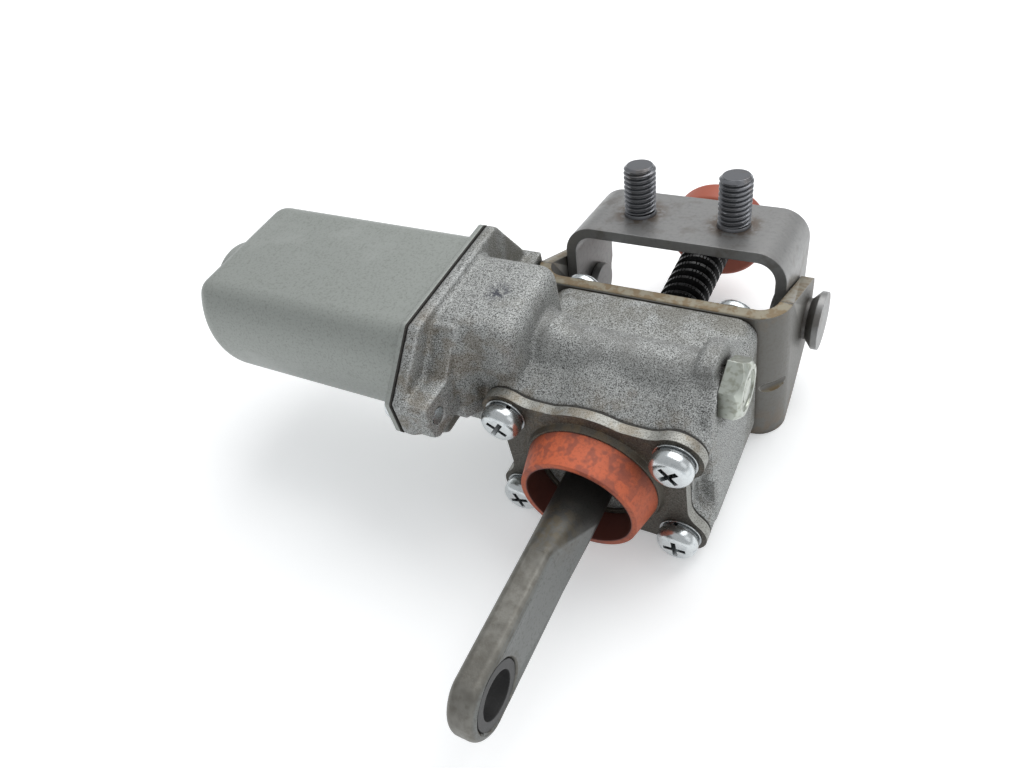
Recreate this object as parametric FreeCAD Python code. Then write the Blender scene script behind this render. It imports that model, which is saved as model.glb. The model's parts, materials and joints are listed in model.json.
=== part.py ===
import FreeCAD, Part
import math
import os
from FreeCAD import Vector

# Frame: millimetres. X runs along the motor shaft, with the motor towards -X.
# Y runs along the lead screw, away from the rod eye. Z is up.
# The origin is the centre of the bore in the rod eye.

# Rod eye and forged lead screw
eye_bore_r = 5.0
eye_bush_wall = 2.0
eye_reach = 9.3
eye_corner_r = 6.0
eye_mouth_widening = 0.7
blade_half_width = 8.5
blade_thickness = 6.4
blade_edge_r = 2.0
blade_length = 27.0
blend_length = 12.0
shank_r = 5.8
thread_r = 6.1
screw_tail = 4.0
bush_recess = 0.3

# Gearbox cover, its gasket and its four screws
eye_to_cover = 53.0
cover_thickness = 2.5
gasket_thickness = 0.5
cover_screw_x = 19.7
cover_screw_z = 13.6
cover_lobe_r = 6.0
cover_waist_x = 21.6
cover_waist_z = 17.7
cover_round_r = 19.3
cover_blend_r = 7.0
collar_r = 16.6
collar_height = 1.4
screw_shank_r = 2.5
screw_hole_gap = 0.25
screw_head_r = 4.7
screw_head_height = 3.4
screw_washer_r = 4.9
screw_washer_height = 1.3
cover_screw_grip = 11.0
drive_slot_width = 1.1
drive_slot_depth = 1.7

# Guide of the rod in the cover, and the two rubber stops
guide_r = 11.4
guide_front = 0.6
guide_back = 4.2
guide_gap = 0.5
running_gap = 0.05
stop_lip_r = 13.8
stop_base_r = 15.6
stop_mouth_r = 12.4
stop_height = 9.1
stop_floor = 1.5
rear_stop_r = 13.5
rear_stop_length = 8.0
rear_stop_y = 140.0
stop_washer_r = 8.8
stop_washer_thickness = 1.6
end_nut_r = 7.3
end_nut_height = 5.5

# Worm gear
module = 1.25
wheel_teeth = 25
wheel_width = 10.0
worm_pitch_r = 4.2
pressure_angle = 20.0
tooth_backlash = 0.34
worm_turns = 6.0
worm_phase = 180.0
nut_r = 9.0
nut_flange_r = 12.0
wheel_cavity_gap = 1.0
bearing_wall = 1.8
bearing_length = 4.0
thrust_washer_thickness = 1.0

# Gearbox casting
case_depth = 35.0
case_flange_depth = 5.5
case_left = -24.4
case_right = 25.7
case_top = 18.9
case_bottom = -19.8
case_corner_r = 5.0
wheel_mid_from_cover = 16.9
ridge_r = 8.8
ridge_left = -17.0
apron_top = 24.4
apron_reach = 9.6
apron_right = 25.3
apron_notch_x = 22.0
apron_notch_y = 6.0
collar_left = 20.5
collar_right = 24.0
collar_ridge_r = 9.6
collar_slope_end = 13.8
bolt_seat_x = 24.9
spot_face_r = 7.8
rear_opening_r = 7.2
tunnel_gap = 0.8

# Neck of the casting that carries the motor
motor_seat_x = -39.0
neck_front_y = 3.8
neck_back_y = 29.6
neck_right_x = -16.8
neck_top = 34.4
neck_bottom = 3.0
neck_corner_r = 4.0
flange_plate = 3.0
flange_half_height = 16.3
flange_flat_half = 17.0
flange_far_flat = 19.2
flange_reach = 30.2
flange_far_reach = 29.8
flange_tip_half = 4.5
far_screw_drop = 4.6
flange_corner_r = 1.6
near_lug_length = 5.8
far_lug_length = 3.8
lug_half_width = 4.0
lug_half_height = 5.2
lug_low_r = 3.2
gusset_front = -3.8
gusset_low_front = -1.3
gusset_top = 33.6
gusset_bottom = 9.5
gusset_blend = 4.0
brush_room_half_width = 10.8
brush_room_half_height = 12.4
brush_room_end = -26.5
room_corner_r = 2.0

# Motor
can_length = 66.8
can_half_height = 14.4
can_side_r = 22.1
can_bend_r = 5.0
can_end_r = 5.5
can_wall = 1.5
can_flange_thickness = 1.2
can_boss_r = 11.0
can_boss_height = 4.5
can_boss_edge_r = 2.2
can_boss_wall = 1.4
motor_gasket_thickness = 0.4
motor_screw_r = 2.0
motor_screw_head_r = 3.4
motor_screw_head_height = 2.6
shaft_r = 3.0
journal_r = 2.6
air_gap = 0.5
magnet_length = 44.0
magnet_glue = 0.1
magnet_from_end = 10.0
magnet_half_angle = 56.0
core_length = 38.0
core_slots = 10
core_slot_width = 1.6
core_tooth_r = 7.5
winding_overhang = 4.0
commutator_r = 4.4
commutator_bars = 10
commutator_length = 9.0
commutator_x = -39.5
bar_gap = 0.6
brush_width = 3.0
brush_height = 5.0
brush_length = 3.4
brush_card_thickness = 2.0
spring_r = 1.3
spring_length = 1.9
spring_wire = 0.4
bush_wall = 2.0
bush_length = 6.0
thrust_pad_thickness = 1.5
adjuster_r = 4.0
adjuster_flats = 12.0
adjuster_head_height = 4.6

# Fixed yoke and its screws
yoke_thickness = 3.0
yoke_top = 19.3
yoke_bottom = -20.8
yoke_ear_x = 31.4
yoke_bend_r = 7.4
pivot_behind_yoke = 20.5
ear_tip_behind_pivot = 6.6
ear_tip_top = 8.0
ear_tip_bottom = -8.6
ear_heel_behind_yoke = 4.0
ear_low_behind_yoke = 12.0
ear_low_z = -17.2
yoke_opening_r = 8.0
yoke_screw_x = 18.8
yoke_screw_z = 14.6
yoke_screw_head_r = 5.2
yoke_screw_head_height = 3.4
yoke_screw_grip = 12.0

# Swivel bracket, its pins and its studs
bracket_thickness = 2.6
bracket_side_gap = 0.35
bracket_height = 23.1
bracket_depth = 23.0
bracket_bend_r = 7.4
bracket_leg_r = 10.6
bracket_tilt = 9.0
pin_r = 4.0
pin_neck_r = 5.2
pin_flare = 1.8
pin_neck_length = 2.6
pin_head_r = 7.3
pin_head_thickness = 1.5
pin_tail_r = 5.6
pin_tail_length = 2.0
stud_r = 4.0
stud_root_r = 3.6
stud_countersink = 0.5
stud_head_r = 5.2
stud_head_height = 1.2
stud_spacing = 24.0
stud_length = 13.0
stud_chamfer = 0.9

# Lead outlet
grommet_r = 3.8
grommet_lip_r = 5.2
grommet_lip = 1.6
grommet_gap = 0.3
lead_hole_r = 1.0
lead_spacing = 1.9

# Places worked out from the sizes above
cover_y = eye_to_cover
case_front = cover_y + cover_thickness + gasket_thickness
case_rear = case_front + case_depth
worm_y = cover_y + wheel_mid_from_cover
worm_z = module * wheel_teeth / 2 + worm_pitch_r
yoke_rear = case_rear + yoke_thickness
pivot_y = yoke_rear + pivot_behind_yoke
wheel_pitch_r = module * wheel_teeth / 2
wheel_tip_r = wheel_pitch_r + module
worm_tip_r = worm_pitch_r + module
worm_root_r = worm_pitch_r - 1.25 * module
axial_pitch = math.pi * module
lead_angle = math.degrees(math.atan(module / (2 * worm_pitch_r)))
can_seat_x = motor_seat_x - motor_gasket_thickness
can_end_x = can_seat_x - can_length
screw_rear = rear_stop_y + rear_stop_length
small = 0.01

X = Vector(1, 0, 0)
Y = Vector(0, 1, 0)
Z = Vector(0, 0, 1)
cover_screw_places = [(sx * cover_screw_x, sz * cover_screw_z) for sx in (-1, 1) for sz in (-1, 1)]
yoke_screw_places = [(sx * yoke_screw_x, sz * yoke_screw_z) for sx in (-1, 1) for sz in (-1, 1)]
motor_screw_places = [(-1, 0.0, near_lug_length), (1, -far_screw_drop, far_lug_length)]


# Small helpers

def box(x0, x1, y0, y1, z0, z1):
    return Part.makeBox(x1 - x0, y1 - y0, z1 - z0, Vector(x0, y0, z0))


def rod_x(r, x0, x1, y, z):
    return Part.makeCylinder(r, x1 - x0, Vector(x0, y, z), X)


def rod_y(r, y0, y1, x=0.0, z=0.0):
    return Part.makeCylinder(r, y1 - y0, Vector(x, y0, z), Y)


def cone_y(r0, r1, y0, y1, x=0.0, z=0.0):
    return Part.makeCone(r0, r1, y1 - y0, Vector(x, y0, z), Y)


def ring_y(r_out, r_in, y0, y1, x=0.0, z=0.0):
    return rod_y(r_out, y0, y1, x, z).cut(rod_y(r_in, y0 - 1, y1 + 1, x, z))


def ring_x(r_out, r_in, x0, x1, y, z):
    return rod_x(r_out, x0, x1, y, z).cut(rod_x(r_in, x0 - 1, x1 + 1, y, z))


def join(first, *others):
    return first.multiFuse(list(others)).removeSplitter()


def polygon(points):
    return Part.Face(Part.makePolygon(points + [points[0]]))


def smoothed(face, r):
    grown = face.makeOffset2D(r)
    return grown.Faces[0].makeOffset2D(-r).Faces[0]


def fillet_where(shape, radius, choose):
    edges = [edge for edge in shape.Edges if choose(edge)]
    return shape.makeFillet(radius, edges)


def runs_along(edge, axis):
    ends = [vertex.Point for vertex in edge.Vertexes]
    if len(ends) < 2:
        return False
    line = ends[1].sub(ends[0])
    return line.Length > small and abs(line.normalize().dot(axis)) > 0.999


def outer_circles(shape, least_r):
    return [edge for edge in shape.Edges if isinstance(edge.Curve, Part.Circle) and edge.Curve.Radius > least_r]


def rounded_bar_y(x0, x1, z0, z1, y0, y1, r):
    bar = box(x0, x1, y0, y1, z0, z1)
    return fillet_where(bar, r, lambda edge: runs_along(edge, Y))


def as_group(solids):
    return Part.makeCompound(solids)


# Lead screw: round screw, flattened blade and rounded eye forged in one piece

def blade_outline(x):
    disc = rod_x(eye_reach, x, x + 1, 0, 0)
    end = disc.common(box(x, x + 1, -eye_reach, 0, -blade_half_width, blade_half_width))
    strip = box(x, x + 1, 0, blade_length + eye_corner_r, -blade_half_width, blade_half_width)
    face = [face for face in join(end, strip).Faces if face.BoundBox.XMax < x + small][0]
    return smoothed(face, -eye_corner_r)


def rounded_blade():
    half = blade_thickness / 2
    blade = blade_outline(-half).extrude(Vector(blade_thickness, 0, 0))
    blade = blade.common(box(-half, half, -eye_reach - 1, blade_length, -eye_reach, eye_reach))
    return fillet_where(blade, blade_edge_r, lambda edge: edge.BoundBox.XLength < small and
                        edge.BoundBox.YMin < blade_length - small)


def eye_mouth(side):
    face_x = blade_thickness / 2
    seat_r = eye_bore_r + eye_bush_wall
    mouth = Part.makeCone(seat_r, seat_r + eye_mouth_widening + small, eye_mouth_widening + small,
                          Vector(face_x - eye_mouth_widening, 0, 0), X)
    if side < 0:
        mouth.rotate(Vector(0, 0, 0), Z, 180)
    return mouth


def corner_arcs(half_x, half_z, r, y):
    arcs = []
    for i, (sx, sz) in enumerate(((1, 1), (-1, 1), (-1, -1), (1, -1))):
        centre = Vector(sx * (half_x - r), y, sz * (half_z - r))
        points = []
        for angle in (90.0 * i, 90.0 * i + 45, 90.0 * i + 90):
            turn = math.radians(angle)
            points.append(centre.add(Vector(r * math.cos(turn), 0, r * math.sin(turn))))
        arcs.append(points)
    return arcs


def blade_end_wire(y):
    edges = []
    corners = corner_arcs(blade_thickness / 2, blade_half_width, blade_edge_r, y)
    for i, points in enumerate(corners):
        edges.append(Part.Arc(*points).toShape())
        edges.append(Part.LineSegment(points[2], corners[(i + 1) % 4][0]).toShape())
    return Part.Wire(edges)


def shank_end_wire(y):
    edges = []
    half = blade_thickness / 2
    low = math.degrees(math.atan2(blade_half_width - blade_edge_r, half))
    high = math.degrees(math.atan2(blade_half_width, half - blade_edge_r))
    marks = [low, high, 180 - high, 180 - low, 180 + low, 180 + high, 360 - high, 360 - low, 360 + low]
    for start, stop in zip(marks, marks[1:]):
        points = []
        for angle in (start, (start + stop) / 2, stop):
            turn = math.radians(angle)
            points.append(Vector(shank_r * math.cos(turn), y, shank_r * math.sin(turn)))
        edges.append(Part.Arc(*points).toShape())
    return Part.Wire(edges)


def lead_screw():
    blend = Part.makeLoft([blade_end_wire(blade_length), shank_end_wire(blade_length + blend_length)], True, True)
    shank = rod_y(shank_r, blade_length + blend_length, cover_y + small)
    thread = rod_y(thread_r, cover_y, screw_rear + stop_washer_thickness + end_nut_height + screw_tail)
    body = join(rounded_blade(), blend, shank, thread)
    seat = rod_x(eye_bore_r + eye_bush_wall, -blade_thickness, blade_thickness, 0, 0)
    return body.cut(seat.multiFuse([eye_mouth(-1), eye_mouth(1)]))


def eye_bush():
    half = blade_thickness / 2 - bush_recess
    bush = ring_x(eye_bore_r + eye_bush_wall, eye_bore_r, -half, half, 0, 0)
    return bush


# Rubber stops: a cup round the rod at the cover, and a collar on the far end

def front_stop():
    base_y = cover_y - collar_height + stop_floor
    outer = cone_y(stop_lip_r, stop_base_r, cover_y - stop_height, cover_y - collar_height)
    hollow = rod_y(stop_mouth_r, cover_y - stop_height - 1, base_y + 1)
    return outer.cut(hollow)


def rear_stop():
    outer = rod_y(rear_stop_r, rear_stop_y, screw_rear)
    outer = outer.makeFillet(1.6, outer.Edges)
    return outer.cut(rod_y(thread_r + running_gap, rear_stop_y - 1, screw_rear + 1))


def stop_washer():
    return ring_y(stop_washer_r, thread_r + running_gap, screw_rear, screw_rear + stop_washer_thickness)


def hexagon_y(flats, y0, y1):
    corner = flats / math.sqrt(3)
    points = [Vector(corner * math.cos(math.radians(60 * i)), y0, corner * math.sin(math.radians(60 * i)))
              for i in range(6)]
    return polygon(points).extrude(Vector(0, y1 - y0, 0))


def end_nut():
    start = screw_rear + stop_washer_thickness
    nut = hexagon_y(2 * end_nut_r, start, start + end_nut_height)
    return nut.cut(rod_y(thread_r, start - 1, start + end_nut_height + 1))


# Gearbox cover

def cover_outline(y):
    thick = 1.0
    slab = box(-cover_waist_x, cover_waist_x, y, y + thick, -cover_waist_z, cover_waist_z)
    discs = [rod_y(cover_round_r, y, y + thick)] + screw_holes_y(cover_lobe_r, y, y + thick)
    body = join(slab, *discs)
    faces = [face for face in body.Faces if face.BoundBox.YMax < y + small]
    return smoothed(faces[0], cover_blend_r)


def lobed_plate(y0, y1):
    face = cover_outline(y0)
    return face.extrude(Vector(0, y1 - y0, 0))


def screw_holes_y(r, y0, y1, places=cover_screw_places):
    return [rod_y(r, y0, y1, x, z) for x, z in places]


def gearbox_cover():
    plate = lobed_plate(cover_y, cover_y + cover_thickness)
    collar = cone_y(collar_r - 0.6, collar_r, cover_y - collar_height, cover_y)
    plate = join(plate, collar)
    centre = rod_y(guide_r, cover_y - collar_height - 1, cover_y + cover_thickness + 1)
    return plate.cut(Part.makeCompound([centre] + screw_holes_y(
        screw_shank_r + screw_hole_gap, cover_y - 1, cover_y + cover_thickness + 1)))


def cover_gasket():
    y0 = cover_y + cover_thickness
    plate = lobed_plate(y0, y0 + gasket_thickness)
    cuts = screw_holes_y(screw_shank_r + screw_hole_gap, y0 - 1, y0 + 2)
    cuts.append(rod_y(wheel_tip_r + wheel_cavity_gap, y0 - 1, y0 + 2))
    return plate.cut(Part.makeCompound(cuts))


def pan_head(r, height):
    head = Part.makeCylinder(r, height, Vector(0, 0, 0), Y)
    rim = [edge for edge in head.Edges if edge.BoundBox.YMin < small and edge.BoundBox.YMax < small]
    head = head.makeFillet(height * 0.45, rim[:1])
    slot_a = box(-r * 0.62, r * 0.62, -1, drive_slot_depth, -drive_slot_width / 2, drive_slot_width / 2)
    slot_b = box(-drive_slot_width / 2, drive_slot_width / 2, -1, drive_slot_depth, -r * 0.62, r * 0.62)
    return head.cut(slot_a.fuse(slot_b))


def cover_screws():
    group = []
    seat = cover_y - screw_washer_height
    for x, z in cover_screw_places:
        head = pan_head(screw_head_r, screw_head_height)
        shank = rod_y(screw_shank_r, screw_head_height - 0.5, screw_head_height + screw_washer_height + cover_screw_grip)
        screw = join(head, shank)
        screw.translate(Vector(x, seat - screw_head_height, z))
        group.append(screw)
    return as_group(group)


def cover_screw_washers():
    group = []
    for x, z in cover_screw_places:
        group.append(ring_y(screw_washer_r, screw_shank_r + screw_hole_gap, cover_y - screw_washer_height, cover_y, x, z))
    return as_group(group)


def rod_guide():
    guide = rod_y(guide_r, cover_y - guide_front, cover_y + guide_back)
    return guide.cut(rod_y(thread_r + guide_gap, cover_y - guide_front - 1, cover_y + guide_back + 1))


# Worm, worm wheel and drive nut

def flank_angle(r, base_r):
    turn = math.acos(min(1.0, base_r / r))
    return math.tan(turn) - turn


def wheel_section(y, twist):
    base_r = wheel_pitch_r * math.cos(math.radians(pressure_angle))
    root_r = wheel_pitch_r - 1.2 * module
    tip_r = wheel_tip_r
    half_pitch = (axial_pitch / 2 - tooth_backlash) / (2 * wheel_pitch_r)
    mid = flank_angle(wheel_pitch_r, base_r)
    low_r = max(root_r, base_r)

    def at(r, angle):
        return Vector(r * math.sin(angle), y, r * math.cos(angle))

    def half_angle(r):
        return half_pitch + mid - flank_angle(max(r, base_r), base_r)

    edges = []
    step = 2 * math.pi / wheel_teeth
    middle_r = (low_r + tip_r) / 2
    for i in range(wheel_teeth):
        centre = i * step + twist
        left_low = at(low_r, centre - half_angle(low_r))
        left_tip = at(tip_r, centre - half_angle(tip_r))
        right_tip = at(tip_r, centre + half_angle(tip_r))
        right_low = at(low_r, centre + half_angle(low_r))
        next_low = at(low_r, centre + step - half_angle(low_r))
        edges.append(Part.Arc(left_low, at(middle_r, centre - half_angle(middle_r)), left_tip).toShape())
        edges.append(Part.LineSegment(left_tip, right_tip).toShape())
        edges.append(Part.Arc(right_tip, at(middle_r, centre + half_angle(middle_r)), right_low).toShape())
        if low_r > root_r + small:
            right_root = at(root_r, centre + half_angle(low_r))
            next_root = at(root_r, centre + step - half_angle(low_r))
            edges.append(Part.LineSegment(right_low, right_root).toShape())
            edges.append(Part.LineSegment(right_root, next_root).toShape())
            edges.append(Part.LineSegment(next_root, next_low).toShape())
        else:
            edges.append(Part.LineSegment(right_low, next_low).toShape())
    return Part.Wire(edges)


def worm_wheel():
    y0 = worm_y - wheel_width / 2
    y1 = worm_y + wheel_width / 2
    shift = wheel_width / 2 * math.tan(math.radians(lead_angle)) / wheel_pitch_r
    blank = Part.makeLoft([wheel_section(y0, -shift), wheel_section(y1, shift)], True, True)
    return blank.cut(rod_y(nut_r, y0 - 1, y1 + 1))


def drive_nut():
    y0 = cover_y + guide_back + running_gap
    y1 = case_rear - bearing_wall
    body = rod_y(nut_r, y0, y1)
    return body.cut(rod_y(thread_r + running_gap, y0 - 1, y1 + 1))


def nut_bearing_front():
    y0 = cover_y + guide_back + running_gap
    return ring_y(nut_r + bearing_wall + running_gap, nut_r + running_gap, y0, y0 + bearing_length)


def nut_bearing_rear():
    y1 = case_rear - bearing_wall
    return ring_y(nut_r + bearing_wall + running_gap, nut_r + running_gap, y1 - bearing_length, y1)


def thrust_washers():
    group = []
    y0 = worm_y - wheel_width / 2
    y1 = worm_y + wheel_width / 2
    group.append(ring_y(nut_flange_r, nut_r + running_gap, y0 - running_gap - thrust_washer_thickness,
                        y0 - running_gap))
    group.append(ring_y(nut_flange_r, nut_r + running_gap, y1 + running_gap,
                        y1 + running_gap + thrust_washer_thickness))
    return as_group(group)


def worm_thread():
    length = worm_turns * axial_pitch
    helix = Part.makeHelix(axial_pitch, length, worm_root_r)
    inner = worm_root_r - 0.15
    slope = math.tan(math.radians(pressure_angle))
    half_mid = (axial_pitch / 2 - tooth_backlash) / 2
    half_root = half_mid + (worm_pitch_r - inner) * slope
    half_tip = half_mid - module * slope
    profile = Part.makePolygon([Vector(inner, 0, -half_root), Vector(worm_tip_r, 0, -half_tip),
                                Vector(worm_tip_r, 0, half_tip), Vector(inner, 0, half_root),
                                Vector(inner, 0, -half_root)])
    thread = Part.Wire(helix).makePipeShell([profile], True, True)
    thread.translate(Vector(0, 0, -length / 2))
    return thread


def armature_shaft():
    half = worm_turns * axial_pitch / 2
    thread = worm_thread()
    thread.rotate(Vector(0, 0, 0), Y, 90)
    thread.rotate(Vector(0, 0, 0), X, worm_phase)
    thread.translate(Vector(0, worm_y, worm_z))
    core = rod_x(worm_root_r, -half - 1.5, half + 1.5, worm_y, worm_z)
    tail = rod_x(shaft_r, can_end_x - can_boss_height + can_boss_wall + 1.0, -half - 1.5, worm_y, worm_z)
    nose = rod_x(journal_r, half + 1.5, worm_end_x(), worm_y, worm_z)
    return join(core, tail, nose, thread)


def worm_end_x():
    half = worm_turns * axial_pitch / 2
    return half + 1.5 + bush_length


# Armature

def slot_cutters(x0, x1):
    cutters = []
    for i in range(core_slots):
        cutter = box(x0 - 1, x1 + 1, -core_slot_width / 2, core_slot_width / 2, core_tooth_r, core_r() + 1)
        cutter.rotate(Vector(0, 0, 0), X, 360.0 * i / core_slots)
        cutters.append(cutter)
    cutter = Part.makeCompound(cutters)
    cutter.translate(Vector(0, worm_y, worm_z))
    return cutter


def core_middle_x():
    return can_end_x + magnet_from_end + magnet_length / 2


def armature_core():
    x0 = core_middle_x() - core_length / 2
    x1 = core_middle_x() + core_length / 2
    return ring_x(core_r(), shaft_r, x0, x1, worm_y, worm_z).cut(slot_cutters(x0, x1))


def core_r():
    return can_half_height - can_wall - 0.9


def armature_windings():
    x0 = core_middle_x() - core_length / 2
    x1 = core_middle_x() + core_length / 2
    group = []
    for start, stop in ((x0 - winding_overhang, x0), (x1, x1 + winding_overhang)):
        coil = ring_x(core_r() - 1.2, shaft_r, start, stop, worm_y, worm_z)
        group.append(coil.makeFillet(1.2, outer_circles(coil, shaft_r + 1)))
    return as_group(group)


def commutator():
    bars = ring_x(commutator_r, shaft_r, commutator_x, commutator_x + commutator_length, worm_y, worm_z)
    cutters = []
    for i in range(commutator_bars):
        cutter = box(commutator_x - 1, commutator_x + commutator_length + 1, -bar_gap / 2, bar_gap / 2,
                     commutator_r - 1.2, commutator_r + 1)
        cutter.rotate(Vector(0, 0, 0), X, 360.0 * (i + 0.5) / commutator_bars)
        cutter.translate(Vector(0, worm_y, worm_z))
        cutters.append(cutter)
    return bars.cut(Part.makeCompound(cutters))


# Brush gear

def brush_place(side):
    return worm_y + side * (commutator_r + 0.05)


def brushes():
    group = []
    middle = commutator_x + commutator_length / 2
    for side in (-1, 1):
        near = brush_place(side)
        far = near + side * brush_length
        group.append(box(middle - brush_height / 2, middle + brush_height / 2, min(near, far), max(near, far),
                         worm_z - brush_width / 2, worm_z + brush_width / 2))
    return as_group(group)


def brush_springs():
    group = []
    middle = commutator_x + commutator_length / 2
    for side in (-1, 1):
        near = brush_place(side) + side * brush_length
        far = near + side * spring_length
        coil = rod_y(spring_r, min(near, far), max(near, far), middle, worm_z)
        group.append(coil.cut(rod_y(spring_r - spring_wire, min(near, far) - 1, max(near, far) + 1, middle, worm_z)))
    return as_group(group)


def brush_card():
    x1 = brush_room_end
    card = rod_x(brush_room_half_width - running_gap, x1 - brush_card_thickness, x1, worm_y, worm_z)
    card = card.cut(rod_x(shaft_r + 1.0, x1 - brush_card_thickness - 1, x1 + 1, worm_y, worm_z))
    middle = commutator_x + commutator_length / 2
    boxes = []
    for side in (-1, 1):
        near = brush_place(side) + side * 0.6
        far = brush_place(side) + side * (brush_length + spring_length)
        end = far + side * 1.0
        low, high = min(near, end), max(near, end)
        holder = box(middle - brush_height / 2 - 1.0, x1 - brush_card_thickness, low, high,
                     worm_z - brush_width / 2 - 1.0, worm_z + brush_width / 2 + 1.0)
        low, high = min(near - side, far), max(near - side, far)
        slot = box(middle - brush_height / 2, middle + brush_height / 2, low, high,
                   worm_z - brush_width / 2, worm_z + brush_width / 2)
        boxes.append(holder.cut(slot))
    return join(card, *boxes)


# Motor can

def can_section(x, inset):
    half_height = can_half_height - inset
    side_r = can_side_r - inset
    bend = can_bend_r - inset
    disc = Part.Face(Part.Wire(Part.Circle(Vector(x, worm_y, worm_z), X, side_r).toShape()))
    slab = polygon([Vector(x, worm_y - 40, worm_z - half_height), Vector(x, worm_y + 40, worm_z - half_height),
                    Vector(x, worm_y + 40, worm_z + half_height), Vector(x, worm_y - 40, worm_z + half_height)])
    face = disc.common(slab).Faces[0]
    return smoothed(face, -bend)


def motor_can():
    outer = can_section(can_end_x, 0.0).extrude(Vector(can_length, 0, 0))
    outer = fillet_where(outer, can_end_r, lambda edge: edge.BoundBox.XMax < can_end_x + small)
    boss = rod_x(can_boss_r, can_end_x - can_boss_height, can_end_x + 2, worm_y, worm_z)
    boss = boss.makeFillet(can_boss_edge_r, [edge for edge in boss.Edges if edge.BoundBox.XMax < can_end_x])
    flange = flange_outline(can_seat_x - can_flange_thickness).extrude(Vector(can_flange_thickness, 0, 0))
    shell = join(outer, boss, flange)
    room = can_section(can_end_x + can_wall, can_wall).extrude(Vector(can_length, 0, 0))
    room = fillet_where(room, can_end_r - can_wall, lambda edge: edge.BoundBox.XMax < can_end_x + can_wall + small)
    pocket = rod_x(can_boss_r - can_boss_wall, can_end_x - can_boss_height + can_boss_wall, can_end_x + 3, worm_y, worm_z)
    cuts = [room, pocket] + motor_screw_cutters(motor_screw_r + 0.2)
    return shell.cut(Part.makeCompound(cuts))


def motor_screw_cutters(r):
    return [rod_x(r, can_seat_x - 5, motor_seat_x + flange_plate + length + 5,
                  worm_y + side * lug_centre(), worm_z + dz)
            for side, dz, length in motor_screw_places]


def lug_centre():
    return flange_reach - lug_half_width


def flange_outline(x):
    points = []
    for y, z in ((-flange_flat_half, flange_half_height), (flange_far_flat, flange_half_height),
                 (flange_far_reach, flange_tip_half - far_screw_drop),
                 (flange_far_reach, -flange_tip_half - far_screw_drop),
                 (flange_flat_half, -flange_half_height), (-flange_far_flat, -flange_half_height),
                 (-flange_reach, -flange_tip_half), (-flange_reach, flange_tip_half)):
        points.append(Vector(x, worm_y + y, worm_z + z))
    return smoothed(polygon(points), -flange_corner_r)


def motor_gasket():
    plate = flange_outline(can_seat_x).extrude(Vector(motor_gasket_thickness, 0, 0))
    room = can_section(can_seat_x - 1, can_wall).extrude(Vector(3, 0, 0))
    return plate.cut(Part.makeCompound([room] + motor_screw_cutters(motor_screw_r + 0.2)))


def magnets():
    x0 = core_middle_x() - magnet_length / 2
    body = can_section(x0, can_wall + magnet_glue).extrude(Vector(magnet_length, 0, 0))
    body = body.cut(rod_x(core_r() + air_gap, x0 - 1, x0 + magnet_length + 1, worm_y, worm_z))
    keep = []
    for side in (-1, 1):
        y_near = worm_y + side * (core_r() + air_gap) * math.cos(math.radians(magnet_half_angle))
        y_far = worm_y + side * 40
        keep.append(body.common(box(x0 - 1, x0 + magnet_length + 1, min(y_near, y_far), max(y_near, y_far),
                                    worm_z - 40, worm_z + 40)))
    return as_group([piece.Solids[0] for piece in keep])


def motor_screws():
    group = []
    for side, dz, length in motor_screw_places:
        y = worm_y + side * lug_centre()
        z = worm_z + dz
        seat = can_seat_x - can_flange_thickness
        head = rod_x(motor_screw_head_r, seat - motor_screw_head_height, seat, y, z)
        head = head.makeFillet(1.1, [edge for edge in head.Edges if edge.BoundBox.XMax < seat - 1])
        shank = rod_x(motor_screw_r, seat - 0.5, motor_seat_x + flange_plate + length, y, z)
        group.append(join(head, shank))
    return as_group(group)


# Bearings of the armature

def can_bush():
    x0 = can_end_x - can_boss_height + can_boss_wall
    return ring_x(can_boss_r - can_boss_wall, shaft_r + running_gap, x0, x0 + bush_length - 1, worm_y, worm_z)


def neck_bush_x():
    return -worm_turns * axial_pitch / 2 - 2.0 - bush_length


def neck_bush():
    x0 = neck_bush_x()
    return ring_x(shaft_r + bush_wall, shaft_r + running_gap, x0, x0 + bush_length, worm_y, worm_z)


def nose_bush():
    x1 = worm_end_x()
    return ring_x(journal_r + bush_wall, journal_r + running_gap, x1 - bush_length + 0.3, x1, worm_y, worm_z)


def thrust_pad():
    x0 = worm_end_x() + running_gap
    return rod_x(adjuster_r - 0.5, x0, x0 + thrust_pad_thickness, worm_y, worm_z)


def adjuster_bolt():
    seat = bolt_seat_x + small
    corner = adjuster_flats / math.sqrt(3)
    points = [Vector(seat, worm_y + corner * math.cos(math.radians(60 * i)), worm_z + corner * math.sin(math.radians(60 * i)))
              for i in range(6)]
    head = polygon(points).extrude(Vector(adjuster_head_height, 0, 0))
    dome = Part.makeCone(corner + 2.6, corner - 1.2, adjuster_head_height, Vector(seat, worm_y, worm_z), X)
    head = head.common(dome)
    shank = rod_x(adjuster_r, worm_end_x() + running_gap + thrust_pad_thickness, seat + 1, worm_y, worm_z)
    return join(head, shank)


# Gearbox casting

def case_outside():
    flange = lobed_plate(case_front, case_front + case_flange_depth)
    block = rounded_bar_y(case_left, case_right, case_bottom, case_top, case_front + case_flange_depth - 1,
                          case_rear, case_corner_r)
    ridge = rod_x(ridge_r, ridge_left, bolt_seat_x - 2, worm_y, worm_z)
    plate = flange_outline(motor_seat_x).extrude(Vector(flange_plate, 0, 0))
    return join(flange, block, ridge, end_collar(), apron_body(), neck_body(), gusset_body(), plate, *motor_lugs())


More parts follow.
